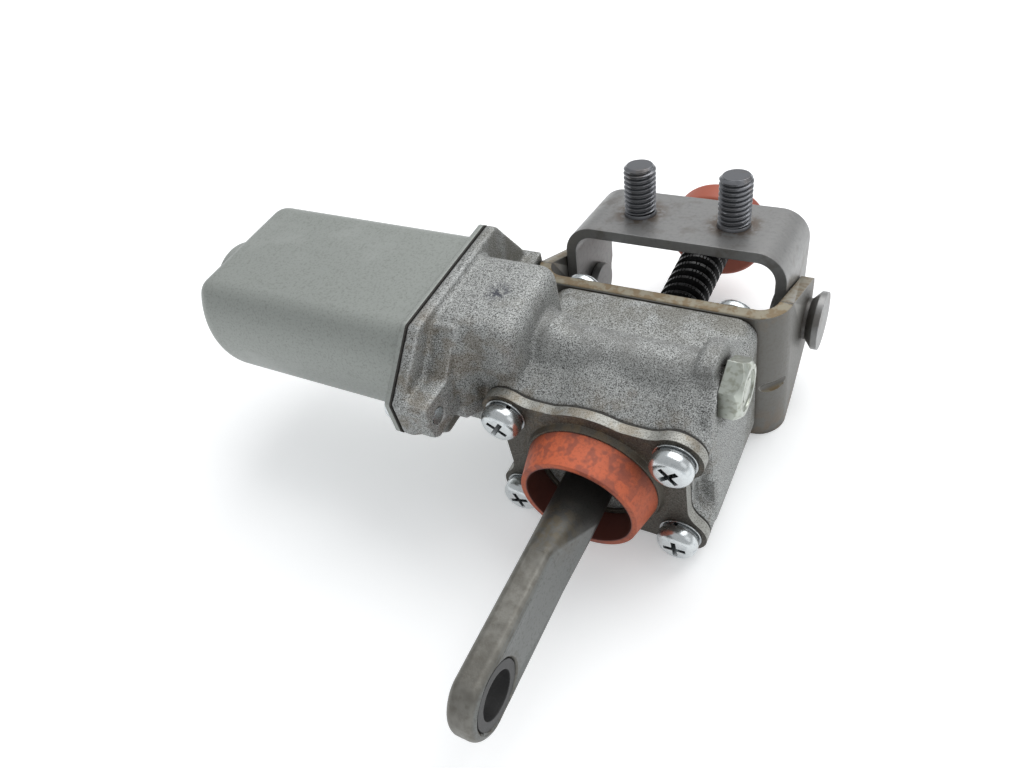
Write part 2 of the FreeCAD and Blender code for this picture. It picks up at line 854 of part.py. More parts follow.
def end_collar():
    face = polygon([Vector(collar_left, worm_y, worm_z - ridge_r / 2),
                    Vector(collar_left, worm_y + collar_slope_end, case_top - 1),
                    Vector(collar_left, worm_y + collar_slope_end, case_top + 0.3),
                    tangent_point(), Vector(collar_left, worm_y, worm_z + ridge_r / 2)])
    slope = face.extrude(Vector(collar_right - collar_left, 0, 0))
    return join(rod_x(collar_ridge_r, collar_left, collar_right, worm_y, worm_z), slope)


def tangent_point():
    rise = case_top + 0.3 - worm_z
    away = math.hypot(collar_slope_end, rise)
    turn = math.atan2(rise, collar_slope_end) + math.acos(collar_ridge_r / away)
    return Vector(collar_left, worm_y + collar_ridge_r * math.cos(turn), worm_z + collar_ridge_r * math.sin(turn))


def apron_body():
    y0 = case_front
    top_y = cover_y + apron_reach
    start = Vector(ridge_left, y0, cover_waist_z)
    crest = Vector(ridge_left, top_y, apron_top)
    sag = Vector(ridge_left, (y0 + top_y) / 2 + 0.5, (cover_waist_z + apron_top) / 2 - 0.4)
    curve = Part.Arc(start, sag, crest).toShape()
    back = Vector(ridge_left, worm_y, apron_top)
    heel = Vector(ridge_left, worm_y, 0)
    toe = Vector(ridge_left, y0, 0)
    outline = Part.Wire([curve, Part.LineSegment(crest, back).toShape(), Part.LineSegment(back, heel).toShape(),
                         Part.LineSegment(heel, toe).toShape(), Part.LineSegment(toe, start).toShape()])
    body = Part.Face(outline).extrude(Vector(apron_right - ridge_left, 0, 0))
    return body.cut(box(apron_notch_x, apron_right + 1, y0 - 1, cover_y + apron_notch_y, 0, apron_top + 1))


def neck_body():
    y0 = cover_y + neck_front_y
    y1 = cover_y + neck_back_y
    body = box(motor_seat_x + small, neck_right_x, y0, y1, neck_bottom, neck_top)
    return fillet_where(body, neck_corner_r, lambda edge: edge.BoundBox.XMax > motor_seat_x + 1 and
                        (edge.BoundBox.ZMin > neck_top - small or runs_along(edge, Z)))


def gusset_body():
    x0 = motor_seat_x + small
    back = cover_y + neck_front_y + 2
    lug_top = worm_z + lug_half_height
    face = polygon([Vector(x0, cover_y + gusset_front, lug_top),
                    Vector(x0, cover_y + neck_front_y + 0.4, gusset_top),
                    Vector(x0, back, gusset_top), Vector(x0, back, gusset_bottom),
                    Vector(x0, cover_y + gusset_low_front, gusset_bottom),
                    Vector(x0, cover_y + gusset_low_front, worm_z - 1),
                    Vector(x0, cover_y + gusset_front, lug_top - 3)])
    return join(face.extrude(Vector(flange_plate + near_lug_length, 0, 0)), gusset_blend_body())


def gusset_blend_body():
    wall = cover_y + neck_front_y
    x0 = motor_seat_x + flange_plate + near_lug_length - small
    shoulder = worm_z + lug_half_height - 2
    profiles = []
    for x, low_y, high_y in ((x0, cover_y + gusset_low_front, wall - 0.4), (x0 + gusset_blend, wall - small, wall - small)):
        points = [Vector(x, low_y, gusset_bottom), Vector(x, low_y, shoulder), Vector(x, high_y, gusset_top - 2),
                  Vector(x, wall + 2, gusset_top - 2), Vector(x, wall + 2, gusset_bottom)]
        profiles.append(Part.makePolygon(points + [points[0]]))
    return Part.makeLoft(profiles, True, True)


def motor_lugs():
    lugs = []
    for side, dz, length in motor_screw_places:
        y = worm_y + side * lug_centre()
        z = worm_z + dz
        inner = worm_y + side * (brush_room_half_width + 1.5)
        outer = y + side * lug_half_width
        lug = box(motor_seat_x, motor_seat_x + flange_plate + length, min(inner, outer), max(inner, outer),
                  z - lug_half_height, z + lug_half_height)
        if side < 0:
            lug = lug.cut(box(motor_seat_x - 1, motor_seat_x + 20, cover_y + gusset_front, inner, lug_top_z(), 60))
        lugs.append(fillet_where(lug, lug_low_r, lambda edge: runs_along(edge, X) and
                                 edge.BoundBox.ZMax < z and abs(edge.BoundBox.YMin - outer) < small))
    return lugs


def lug_top_z():
    return worm_z + lug_half_height


def case_cavities():
    wheel_room = rod_y(wheel_tip_r + wheel_cavity_gap, case_front - 1, worm_y + wheel_width / 2 + 1.5)
    bearing_seat = rod_y(nut_r + bearing_wall + running_gap, case_front, case_rear - bearing_wall)
    rear_hole = rod_y(rear_opening_r, case_front, case_rear + 1)
    nose = worm_end_x()
    half = worm_turns * axial_pitch / 2
    tunnel = rod_x(worm_tip_r + tunnel_gap, -half - 2.0, half + 1.8, worm_y, worm_z)
    neck_seat = rod_x(shaft_r + bush_wall, neck_bush_x(), 0, worm_y, worm_z)
    neck_way = rod_x(shaft_r + 1.0, brush_room_end - 1, 0, worm_y, worm_z)
    nose_seat = rod_x(journal_r + bush_wall, 0, nose, worm_y, worm_z)
    bolt_hole = rod_x(adjuster_r, nose - 1, bolt_seat_x + 3, worm_y, worm_z)
    room = box(motor_seat_x - 1, brush_room_end, worm_y - brush_room_half_width, worm_y + brush_room_half_width,
               worm_z - brush_room_half_height, worm_z + brush_room_half_height)
    room = fillet_where(room, room_corner_r, lambda edge: runs_along(edge, X))
    front_holes = screw_holes_y(screw_shank_r, case_front - 1, case_front + cover_screw_grip)
    rear_holes = screw_holes_y(screw_shank_r, case_rear - yoke_screw_grip, case_rear + 1, yoke_screw_places)
    spot = rod_x(spot_face_r, bolt_seat_x, bolt_seat_x + 8, worm_y, worm_z)
    lead_hole = Part.makeCylinder(grommet_r, 20, Vector(lead_x(), worm_y, neck_bottom - 1), Z)
    cuts = [wheel_room, bearing_seat, rear_hole, tunnel, neck_seat, neck_way, nose_seat, bolt_hole, room, spot, lead_hole]
    return cuts + front_holes + rear_holes + motor_screw_cutters(motor_screw_r)


def lead_x():
    return motor_seat_x + flange_plate + grommet_lip_r + grommet_gap


def gearbox_case():
    body = case_outside()
    for cutter in case_cavities():
        body = body.cut(cutter)
    return body


def lead_grommet():
    top = worm_z - brush_room_half_height
    plug = Part.makeCylinder(grommet_r, top - neck_bottom, Vector(lead_x(), worm_y, neck_bottom), Z)
    lip = Part.makeCylinder(grommet_lip_r, grommet_lip, Vector(lead_x(), worm_y, neck_bottom - grommet_lip), Z)
    body = join(plug, lip)
    for side in (-1, 1):
        hole = Part.makeCylinder(lead_hole_r, 30, Vector(lead_x(), worm_y + side * lead_spacing, neck_bottom - 5), Z)
        body = body.cut(hole)
    return body


# Fixed yoke

def yoke_plan(z):
    inner_x = yoke_ear_x - yoke_thickness
    r_out = yoke_bend_r
    r_in = yoke_bend_r - yoke_thickness
    tip = pivot_y + ear_tip_behind_pivot + 4
    wires = []
    corner = math.sqrt(0.5)
    for side in (-1, 1):
        centre = Vector(side * (yoke_ear_x - r_out), case_rear + r_out, z)
        out_mid = centre.add(Vector(side * r_out * corner, -r_out * corner, 0))
        in_mid = centre.add(Vector(side * r_in * corner, -r_in * corner, 0))
        outer = Part.Arc(Vector(centre.x, case_rear, z), out_mid, Vector(side * yoke_ear_x, centre.y, z)).toShape()
        inner = Part.Arc(Vector(side * inner_x, centre.y, z), in_mid, Vector(centre.x, yoke_rear, z)).toShape()
        wires.append((centre, outer, inner))
    left, right = wires
    edges = [
        Part.LineSegment(Vector(left[0].x, case_rear, z), Vector(right[0].x, case_rear, z)).toShape(),
        right[1],
        Part.LineSegment(Vector(yoke_ear_x, right[0].y, z), Vector(yoke_ear_x, tip, z)).toShape(),
        Part.LineSegment(Vector(yoke_ear_x, tip, z), Vector(inner_x, tip, z)).toShape(),
        Part.LineSegment(Vector(inner_x, tip, z), Vector(inner_x, right[0].y, z)).toShape(),
        right[2],
        Part.LineSegment(Vector(right[0].x, yoke_rear, z), Vector(left[0].x, yoke_rear, z)).toShape(),
        left[2],
        Part.LineSegment(Vector(-inner_x, left[0].y, z), Vector(-inner_x, tip, z)).toShape(),
        Part.LineSegment(Vector(-inner_x, tip, z), Vector(-yoke_ear_x, tip, z)).toShape(),
        Part.LineSegment(Vector(-yoke_ear_x, tip, z), Vector(-yoke_ear_x, left[0].y, z)).toShape(),
        left[1]]
    return Part.Face(Part.Wire(Part.__sortEdges__(edges)))


def yoke_side():
    tip_y = pivot_y + ear_tip_behind_pivot
    points = [(case_rear - 1, yoke_top), (yoke_rear + ear_heel_behind_yoke, yoke_top),
              (tip_y, ear_tip_top), (tip_y - 2.4, ear_tip_bottom),
              (yoke_rear + ear_low_behind_yoke, ear_low_z), (yoke_rear + ear_heel_behind_yoke, yoke_bottom),
              (case_rear - 1, yoke_bottom)]
    face = smoothed(polygon([Vector(-yoke_ear_x - 1, y, z) for y, z in points]), -2.0)
    return face.extrude(Vector(2 * yoke_ear_x + 2, 0, 0))


def yoke():
    strip = yoke_plan(yoke_bottom).extrude(Vector(0, 0, yoke_top - yoke_bottom))
    body = strip.common(yoke_side())
    cuts = [rod_y(yoke_opening_r, case_rear - 1, yoke_rear + 1)]
    cuts += screw_holes_y(screw_shank_r + screw_hole_gap, case_rear - 1, yoke_rear + 1, yoke_screw_places)
    cuts.append(rod_x(pin_neck_r, -yoke_ear_x - 2, yoke_ear_x + 2, pivot_y, 0))
    for cutter in cuts:
        body = body.cut(cutter)
    return body


def yoke_screws():
    group = []
    for x, z in yoke_screw_places:
        dome_r = (yoke_screw_head_r ** 2 + yoke_screw_head_height ** 2) / (2 * yoke_screw_head_height)
        dome = Part.makeSphere(dome_r, Vector(x, yoke_rear + yoke_screw_head_height - dome_r, z))
        head = dome.common(rod_y(yoke_screw_head_r + 1, yoke_rear, yoke_rear + yoke_screw_head_height + 1, x, z))
        shank = rod_y(screw_shank_r, yoke_rear - yoke_thickness - yoke_screw_grip + 1, yoke_rear + 0.5, x, z)
        group.append(join(head, shank))
    return as_group(group)


# Swivel bracket and its pins

def leg_outer_x():
    return yoke_ear_x - yoke_thickness - bracket_side_gap


def tilted(shape):
    shape.rotate(Vector(0, pivot_y, 0), X, -bracket_tilt)
    return shape


def swivel_bracket():
    outer_x = leg_outer_x()
    half = bracket_depth / 2
    y0 = pivot_y - half
    y1 = pivot_y + half
    block = box(-outer_x, outer_x, y0, y1, -bracket_leg_r, bracket_height)
    block = fillet_where(block, bracket_bend_r, lambda edge: runs_along(edge, Y) and edge.BoundBox.ZMin > 0)
    inner = box(-outer_x + bracket_thickness, outer_x - bracket_thickness, y0 - 1, y1 + 1,
                -bracket_leg_r - 20, bracket_height - bracket_thickness)
    inner = fillet_where(inner, bracket_bend_r - bracket_thickness,
                         lambda edge: runs_along(edge, Y) and edge.BoundBox.ZMin > 0)
    body = block.cut(inner)
    side = polygon([Vector(-outer_x - 1, y0, bracket_height + 1), Vector(-outer_x - 1, y0, 2.0),
                    Vector(-outer_x - 1, pivot_y - bracket_leg_r * 0.72, -bracket_leg_r * 0.72),
                    Vector(-outer_x - 1, pivot_y + bracket_leg_r * 0.72, -bracket_leg_r * 0.72),
                    Vector(-outer_x - 1, y1, 2.0), Vector(-outer_x - 1, y1, bracket_height + 1)])
    side = side.extrude(Vector(2 * outer_x + 2, 0, 0))
    side = side.fuse(rod_x(bracket_leg_r, -outer_x - 1, outer_x + 1, pivot_y, 0))
    body = body.common(side)
    body = body.cut(rod_x(pin_r + running_gap, -outer_x - 1, outer_x + 1, pivot_y, 0))
    for x in (-stud_spacing / 2, stud_spacing / 2):
        hole = Part.makeCylinder(stud_root_r, bracket_thickness + 2,
                                 Vector(x, pivot_y, bracket_height - bracket_thickness - 1), Z)
        mouth = Part.makeCone(stud_root_r, stud_r + running_gap, stud_countersink,
                              Vector(x, pivot_y, bracket_height - stud_countersink), Z)
        body = body.cut(Part.makeCompound([hole, mouth]))
    return tilted(body)


def mounting_studs():
    group = []
    for x in (-stud_spacing / 2, stud_spacing / 2):
        shank = Part.makeCylinder(stud_r, stud_length, Vector(x, pivot_y, bracket_height), Z)
        shank = shank.makeChamfer(stud_chamfer, [edge for edge in shank.Edges
                                                 if edge.BoundBox.ZMin > bracket_height + stud_length - small])
        under = bracket_height - bracket_thickness
        root = Part.makeCylinder(stud_root_r, bracket_thickness, Vector(x, pivot_y, under), Z)
        head = Part.makeCylinder(stud_head_r, stud_head_height, Vector(x, pivot_y, under - stud_head_height), Z)
        group.append(tilted(join(shank, root, head)))
    return as_group(group)


def pivot_pins():
    group = []
    inside = leg_outer_x() - bracket_thickness
    for side in (-1, 1):
        neck = rod_x(pin_neck_r, yoke_ear_x - yoke_thickness, yoke_ear_x + pin_neck_length, 0, 0)
        flare = Part.makeCone(pin_neck_r, pin_head_r, pin_flare,
                              Vector(yoke_ear_x + pin_neck_length - pin_flare, 0, 0), X)
        head = rod_x(pin_head_r, yoke_ear_x + pin_neck_length, yoke_ear_x + pin_neck_length + pin_head_thickness, 0, 0)
        shank = rod_x(pin_r, inside - 0.3, yoke_ear_x - yoke_thickness + 1, 0, 0)
        tail = rod_x(pin_tail_r, inside - 0.3 - pin_tail_length, inside - 0.3, 0, 0)
        pin = join(neck, flare, head, shank, tail)
        if side < 0:
            pin.rotate(Vector(0, 0, 0), Z, 180)
        pin.translate(Vector(0, pivot_y, 0))
        group.append(pin)
    return as_group(group)


nodes = {
    "lead_screw": lead_screw,
    "eye_bush": eye_bush,
    "front_stop": front_stop,
    "rear_stop": rear_stop,
    "stop_washer": stop_washer,
    "end_nut": end_nut,
    "gearbox_cover": gearbox_cover,
    "cover_gasket": cover_gasket,
    "cover_screws": cover_screws,
    "cover_screw_washers": cover_screw_washers,
    "rod_guide": rod_guide,
    "worm_wheel": worm_wheel,
    "drive_nut": drive_nut,
    "nut_bearing_front": nut_bearing_front,
    "nut_bearing_rear": nut_bearing_rear,
    "thrust_washers": thrust_washers,
    "armature_shaft": armature_shaft,
    "armature_core": armature_core,
    "armature_windings": armature_windings,
    "commutator": commutator,
    "brushes": brushes,
    "brush_springs": brush_springs,
    "brush_card": brush_card,
    "motor_can": motor_can,
    "motor_gasket": motor_gasket,
    "field_magnets": magnets,
    "motor_screws": motor_screws,
    "can_bush": can_bush,
    "neck_bush": neck_bush,
    "nose_bush": nose_bush,
    "thrust_pad": thrust_pad,
    "adjuster_bolt": adjuster_bolt,
    "gearbox_case": gearbox_case,
    "lead_grommet": lead_grommet,
    "yoke": yoke,
    "yoke_screws": yoke_screws,
    "swivel_bracket": swivel_bracket,
    "mounting_studs": mounting_studs,
    "pivot_pins": pivot_pins,
}

os.makedirs("parts", exist_ok=True)
for name, make in nodes.items():
    shape = make()
    shape.exportStep("parts/" + name + ".step")
    print(name, "solids", len(shape.Solids), "valid", shape.isValid(), "volume", round(shape.Volume, 1))
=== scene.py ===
# %% [markdown]
# # A seat adjustment motor
# A small electric motor turns a worm inside a cast housing. The worm turns a wheel, and the wheel
# holds a nut that pulls a long screw in and out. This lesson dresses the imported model: the shapes
# that are right keep their place and get a finish, and the screws, the threads and the top of the
# casting are modelled anew.

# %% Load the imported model
import json
import math
from collections import namedtuple

import bpy
from mathutils import Matrix, Vector


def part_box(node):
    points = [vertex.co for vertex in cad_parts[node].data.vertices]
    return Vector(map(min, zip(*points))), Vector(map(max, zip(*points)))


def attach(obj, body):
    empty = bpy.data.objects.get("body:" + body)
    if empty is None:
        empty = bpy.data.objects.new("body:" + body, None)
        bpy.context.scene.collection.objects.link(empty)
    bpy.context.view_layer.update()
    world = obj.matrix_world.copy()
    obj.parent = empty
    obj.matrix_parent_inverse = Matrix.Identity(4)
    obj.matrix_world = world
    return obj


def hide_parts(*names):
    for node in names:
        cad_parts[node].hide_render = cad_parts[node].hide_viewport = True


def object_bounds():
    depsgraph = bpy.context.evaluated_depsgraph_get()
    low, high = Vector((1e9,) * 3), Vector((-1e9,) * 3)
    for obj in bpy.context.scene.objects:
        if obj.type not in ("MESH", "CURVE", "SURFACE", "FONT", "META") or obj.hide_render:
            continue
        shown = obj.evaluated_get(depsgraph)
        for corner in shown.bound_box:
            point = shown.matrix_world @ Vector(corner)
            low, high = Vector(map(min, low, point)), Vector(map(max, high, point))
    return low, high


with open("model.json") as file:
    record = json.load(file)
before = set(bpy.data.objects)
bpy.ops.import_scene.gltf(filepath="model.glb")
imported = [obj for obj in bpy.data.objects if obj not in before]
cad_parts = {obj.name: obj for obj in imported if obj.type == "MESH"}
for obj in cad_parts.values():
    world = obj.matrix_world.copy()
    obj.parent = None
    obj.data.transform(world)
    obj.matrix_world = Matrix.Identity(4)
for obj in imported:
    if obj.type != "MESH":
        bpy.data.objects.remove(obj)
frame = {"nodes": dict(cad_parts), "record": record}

nodes = frame["nodes"]
cad_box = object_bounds()
MM = 0.001
print("nodes:", len(nodes), "box:", [tuple(round(v, 4) for v in corner) for corner in cad_box])

# %% [markdown]
# ## Where things are
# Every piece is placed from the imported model, so a few helpers turn a node's box into a centre, a
# front or a top. Lengths are written in millimetres and turned into metres with MM.


# %% Places on the part
def low(node, axis):
    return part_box(node)[0]["xyz".index(axis)]


def high(node, axis):
    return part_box(node)[1]["xyz".index(axis)]


def middle(node):
    corner_a, corner_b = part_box(node)
    return (corner_a + corner_b) / 2


def at(x, y, z):
    """A place, given in millimetres."""
    return Vector((x, y, z)) * MM


COVER_PLATE = 2.5 * MM
YOKE_SHEET = 3.0 * MM
COVER_FRONT = high("gearbox_cover", "y") - COVER_PLATE
CASE_REAR = low("yoke", "y")
YOKE_REAR = CASE_REAR + YOKE_SHEET
MOTOR_AXIS = middle("armature_shaft")
PIVOT = middle("pivot_pins")
TILT = 9.0  # degrees
STUD_X = (-12 * MM, 12 * MM)
CORNERS = [(side, level) for side in (-1, 1) for level in (-1, 1)]
print("cover front", round(COVER_FRONT, 4), "case rear", round(CASE_REAR, 4), "axis", MOTOR_AXIS)

# %% [markdown]
# ## The table and the light
# The part lies on a plain white table under a big soft window. A wide plane serves as table. It
# is pure white, with a little glow, only where the camera or a mirror sees it. For all other light
# it is a bit darker, so it throws no extra light on the metal. Two large lamps give the soft
# shadow and the pale reflections.


# %% Adding a shader node
def fill(tree, socket, value):
    """Links the socket when the value is another node's output, and sets it otherwise."""
    if isinstance(value, bpy.types.NodeSocket):
        tree.links.new(value, socket)
    else:
        socket.default_value = value


def add_node(tree, kind, settings=None, **values):
    """Adds one node. settings are its own options, values fill its input sockets."""
    node = tree.nodes.new(kind)
    for name, value in (settings or {}).items():
        setattr(node, name, value)
    for name, value in values.items():
        fill(tree, node.inputs[name.replace("_", " ")], value)
    return node


# %% Arithmetic with shader nodes
def fill_in_order(tree, node, values):
    for socket, value in zip(node.inputs, values):
        fill(tree, socket, value)


def compute(tree, operation, *values, clamp=False):
    """One step of arithmetic. The values fill the inputs in order."""
    node = add_node(tree, "ShaderNodeMath", {"operation": operation, "use_clamp": clamp})
    fill_in_order(tree, node, values)
    return node.outputs[0]


def compute_vector(tree, operation, *values):
    node = add_node(tree, "ShaderNodeVectorMath", {"operation": operation})
    fill_in_order(tree, node, values)
    gives_number = operation in ("DOT_PRODUCT", "LENGTH")
    return node.outputs["Value" if gives_number else "Vector"]


def ramp(tree, value, start, end, kind="LINEAR"):
    """Goes from 0 where the value is start to 1 where it is end."""
    node = add_node(tree, "ShaderNodeMapRange", {"interpolation_type": kind},
                    Value=value, From_Min=start, From_Max=end)
    return node.outputs["Result"]


def bare_material(name):
    material = bpy.data.materials.new(name)
    material.use_nodes = True
    material.node_tree.nodes.clear()
    return material, material.node_tree


# %% The table
SKY = (0.97, 0.985, 1.0, 1)
TABLE_SIZE = 6.0
TABLE_GAP = 0.1 * MM
TABLE_GLOW = 0.3


def table_material():
    material, tree = bare_material("white_table")
    ray = add_node(tree, "ShaderNodeLightPath")
    seen = compute(tree, "MAXIMUM", ray.outputs["Is Camera Ray"], ray.outputs["Is Glossy Ray"])
    colour = add_node(tree, "ShaderNodeMix", {"data_type": "RGBA"}, Factor=seen,
                      A=(0.72, 0.73, 0.74, 1), B=(0.985, 0.99, 0.99, 1))
    paint = add_node(tree, "ShaderNodeBsdfDiffuse", Color=colour.outputs["Result"])
    glow = add_node(tree, "ShaderNodeEmission", Color=SKY,
                    Strength=compute(tree, "MULTIPLY", seen, TABLE_GLOW))
    both = add_node(tree, "ShaderNodeAddShader")
    fill_in_order(tree, both, (paint.outputs["BSDF"], glow.outputs["Emission"]))
    add_node(tree, "ShaderNodeOutputMaterial", Surface=both.outputs["Shader"])
    return material


bpy.ops.object.select_all(action="DESELECT")
bpy.ops.mesh.primitive_plane_add(size=TABLE_SIZE, location=(0, 0, cad_box[0].z - TABLE_GAP))
table = bpy.context.object
table.name = "table"
table.data.materials.append(table_material())
print("table at z", round(table.location.z, 4))

# %% The room round the table
ROOM_LIGHT = 0.54
world = bpy.data.worlds.new("white_room")
bpy.context.scene.world = world
world.use_nodes = True
room = world.node_tree
room.nodes.clear()
room_ray = add_node(room, "ShaderNodeLightPath")
strength = add_node(room, "ShaderNodeMix", {"data_type": "FLOAT"}, A=ROOM_LIGHT, B=1.0,
                    Factor=room_ray.outputs["Is Camera Ray"])
glow = add_node(room, "ShaderNodeBackground", Color=SKY, Strength=strength.outputs["Result"])
add_node(room, "ShaderNodeOutputWorld", Surface=glow.outputs["Background"])
print("room:", world.name)

# %% The lamps
LAMP_AIM = (0, 0.06, 0)


def new_object(name, data):
    item = bpy.data.objects.new(name, data)
    bpy.context.scene.collection.objects.link(item)
    return item


def soft_lamp(name, place, width, height, watts):
    lamp = bpy.data.lights.new(name, "AREA")
    lamp.shape = "RECTANGLE"
    lamp.size = width
    lamp.size_y = height
    lamp.energy = watts
    holder = new_object(name, lamp)
    holder.location = place
    away = Vector(LAMP_AIM) - Vector(place)
    holder.rotation_euler = away.to_track_quat("-Z", "Y").to_euler()


soft_lamp("window", (0.15, 0.7, 0.97), width=1.2, height=0.9, watts=8.6)
soft_lamp("side_window", (0.95, 0.1, 0.55), width=0.7, height=0.6, watts=0.7)

# %% [markdown]
# ## The camera
# The picture was taken from above, in front and a little to the right, with a wide lens, and the
# camera was rolled. Its turn is written as the three directions right, down and ahead.

# %% Camera
RIGHT = Vector((0.87332, 0.44856, -0.19002))
DOWN = Vector((0.21631, -0.70657, -0.67377))
AHEAD = Vector((-0.43649, 0.54731, -0.71409))
CAMERA_PLACE = (0.05845, -0.03995, 0.14624)
PHOTO_WIDTH = 1024
FOCAL_PIXELS = 804.1
SENSOR = 36.0
camera = new_object("camera", bpy.data.cameras.new("camera"))
turn = Matrix((RIGHT, -DOWN, -AHEAD)).transposed()
camera.matrix_world = Matrix.Translation(CAMERA_PLACE) @ turn.to_4x4()
camera.data.sensor_width = SENSOR
camera.data.lens = FOCAL_PIXELS / PHOTO_WIDTH * SENSOR
camera.data.clip_start = 0.01
bpy.context.scene.camera = camera
bpy.context.scene.view_settings.view_transform = "Standard"
print("lens", round(camera.data.lens, 2))

# %% [markdown]
# ## Effects that many finishes share
# Real metal is never one colour. Four small node groups hold what the finishes share: the dark
# speckle of a casting, the wear on edges, painted shade in corners together with dirt in soft
# patches, and fine marks along one direction. Each gives out only masks, heights or normals, and
# each material decides what to do with them.

# %% How a node group is made
FLOAT = "NodeSocketFloat"
VECTOR = "NodeSocketVector"


def new_group(name, inputs, outputs):
    group = bpy.data.node_groups.new(name, "ShaderNodeTree")
    for label, value in inputs.items():
        socket = group.interface.new_socket(name=label, in_out="INPUT", socket_type=FLOAT)
        socket.default_value = value
    for label, kind in outputs.items():
        group.interface.new_socket(name=label, in_out="OUTPUT", socket_type=kind)
    enter, leave = group.nodes.new("NodeGroupInput"), group.nodes.new("NodeGroupOutput")
    return group, enter.outputs, leave.inputs


def give_out(group, leave, **results):
    for label, socket in results.items():
        fill(group, leave[label], socket)
    print("group", group.name, "gives", list(results))


def place_group(tree, group, **values):
    return add_node(tree, "ShaderNodeGroup", {"node_tree": group}, **values)


def noise(tree, place, scale, detail, roughness):
    node = add_node(tree, "ShaderNodeTexNoise", Vector=place, Scale=scale, Detail=detail,
                    Roughness=roughness)
    return node.outputs["Fac"]


# %% Speckle: small dark pits between bright grains
speckle, enter, leave = new_group("speckle", {"Size": 0.0005, "Cover": 0.5, "Softness": 0.1},
                                  {"Mask": FLOAT, "Height": FLOAT})
place = add_node(speckle, "ShaderNodeTexCoord").outputs["Object"]
fineness = compute(speckle, "DIVIDE", 1.0, enter["Size"])
grains = noise(speckle, place, fineness, detail=2.0, roughness=0.65)
level = (enter["Cover"], enter["Softness"])
pits = ramp(speckle, grains, compute(speckle, "SUBTRACT", *level),
            compute(speckle, "ADD", *level), "SMOOTHSTEP")
give_out(speckle, leave, Mask=pits, Height=grains)

# %% Worn edges: a rounded normal, and a mask where it leaves the flat one
worn_edges, enter, leave = new_group("worn_edges", {"Radius": 0.0004, "Strength": 6.0},
                                     {"Mask": FLOAT, "Normal": VECTOR})
bevel = add_node(worn_edges, "ShaderNodeBevel", {"samples": 6}, Radius=enter["Radius"])
rounded = bevel.outputs["Normal"]
flat = add_node(worn_edges, "ShaderNodeNewGeometry").outputs["True Normal"]
same = compute_vector(worn_edges, "DOT_PRODUCT", rounded, flat)
apart = compute(worn_edges, "SUBTRACT", 1.0, same)
edge = compute(worn_edges, "MULTIPLY", apart, enter["Strength"], clamp=True)
give_out(worn_edges, leave, Mask=edge, Normal=rounded)

# %% Painted shade in corners, from ambient occlusion, and old dirt in soft patches
PATCH_RISE = 0.14
corner_shade_and_patches, enter, leave = new_group(
    "corner_shade_and_patches", {"Reach": 0.004, "Patch Size": 0.012, "Patch Cover": 0.62},
    {"Corners": FLOAT, "Patches": FLOAT})
# The corner mask is ambient occlusion: the colour laid on with it is painted shade in corners and
# recesses.
corner = add_node(corner_shade_and_patches, "ShaderNodeAmbientOcclusion", {"samples": 6},
                  Distance=enter["Reach"])
place = add_node(corner_shade_and_patches, "ShaderNodeTexCoord").outputs["Object"]
fineness = compute(corner_shade_and_patches, "DIVIDE", 1.0, enter["Patch Size"])
cloud = noise(corner_shade_and_patches, place, fineness, detail=5.0, roughness=0.6)
cover_level = enter["Patch Cover"]
patch = ramp(corner_shade_and_patches, cloud, cover_level,
             compute(corner_shade_and_patches, "ADD", cover_level, PATCH_RISE), "SMOOTHSTEP")
give_out(corner_shade_and_patches, leave, Corners=ramp(corner_shade_and_patches, corner.outputs["AO"], 0.85, 0.35), Patches=patch)

# %% Fine marks: thin lines along one direction, as drawing and handling leave them
fine_marks, enter, leave = new_group(
    "fine_marks", {"Along X": 40.0, "Along Y": 900.0, "Along Z": 900.0}, {"Mask": FLOAT})
place = add_node(fine_marks, "ShaderNodeTexCoord").outputs["Object"]
stretch = add_node(fine_marks, "ShaderNodeCombineXYZ",
                   **{axis: enter["Along " + axis] for axis in "XYZ"})
stretched = compute_vector(fine_marks, "MULTIPLY", place, stretch.outputs[0])
give_out(fine_marks, leave, Mask=noise(fine_marks, stretched, 1.0, detail=3.0, roughness=0.7))

# %% [markdown]
# ## The finishes
# One recipe makes every metal, rubber and plastic here, because they are built alike: a base
# colour, a speckle on it, marks along one direction, patches, painted shade in corners, and wear on
# the edges. Each layer mixes one more colour into the chain. Sizes, reaches and radii are in
# millimetres, and amount says how strongly the layer's colour covers what is below.

# %% The layers of a finish
Grain = namedtuple("Grain", "size cover colour amount softness", defaults=[0.06])
Marks = namedtuple("Marks", "x y z colour amount")
Patches = namedtuple("Patches", "size cover colour amount")
# The corner layer is painted shade: its colour darkens corners and recesses within its reach,
# following ambient occlusion.
CornerShade = namedtuple("CornerShade", "reach colour amount")
Edges = namedtuple("Edges", "radius strength colour amount")
NO_PATCHES = Patches(12.0, 0.6, None, 0)
NO_CORNER_SHADE = CornerShade(3.0, None, 0)
NO_EDGES = Edges(0.4, 5.0, None, 0)


def mix_in(tree, under, mask, colour, amount):
    """Lays a colour over the chain where the mask is bright."""
    mix = add_node(tree, "ShaderNodeMix", {"data_type": "RGBA"}, A=under, B=(*colour, 1),
                   Factor=compute(tree, "MULTIPLY", mask, amount, clamp=True))
    return mix.outputs["Result"]


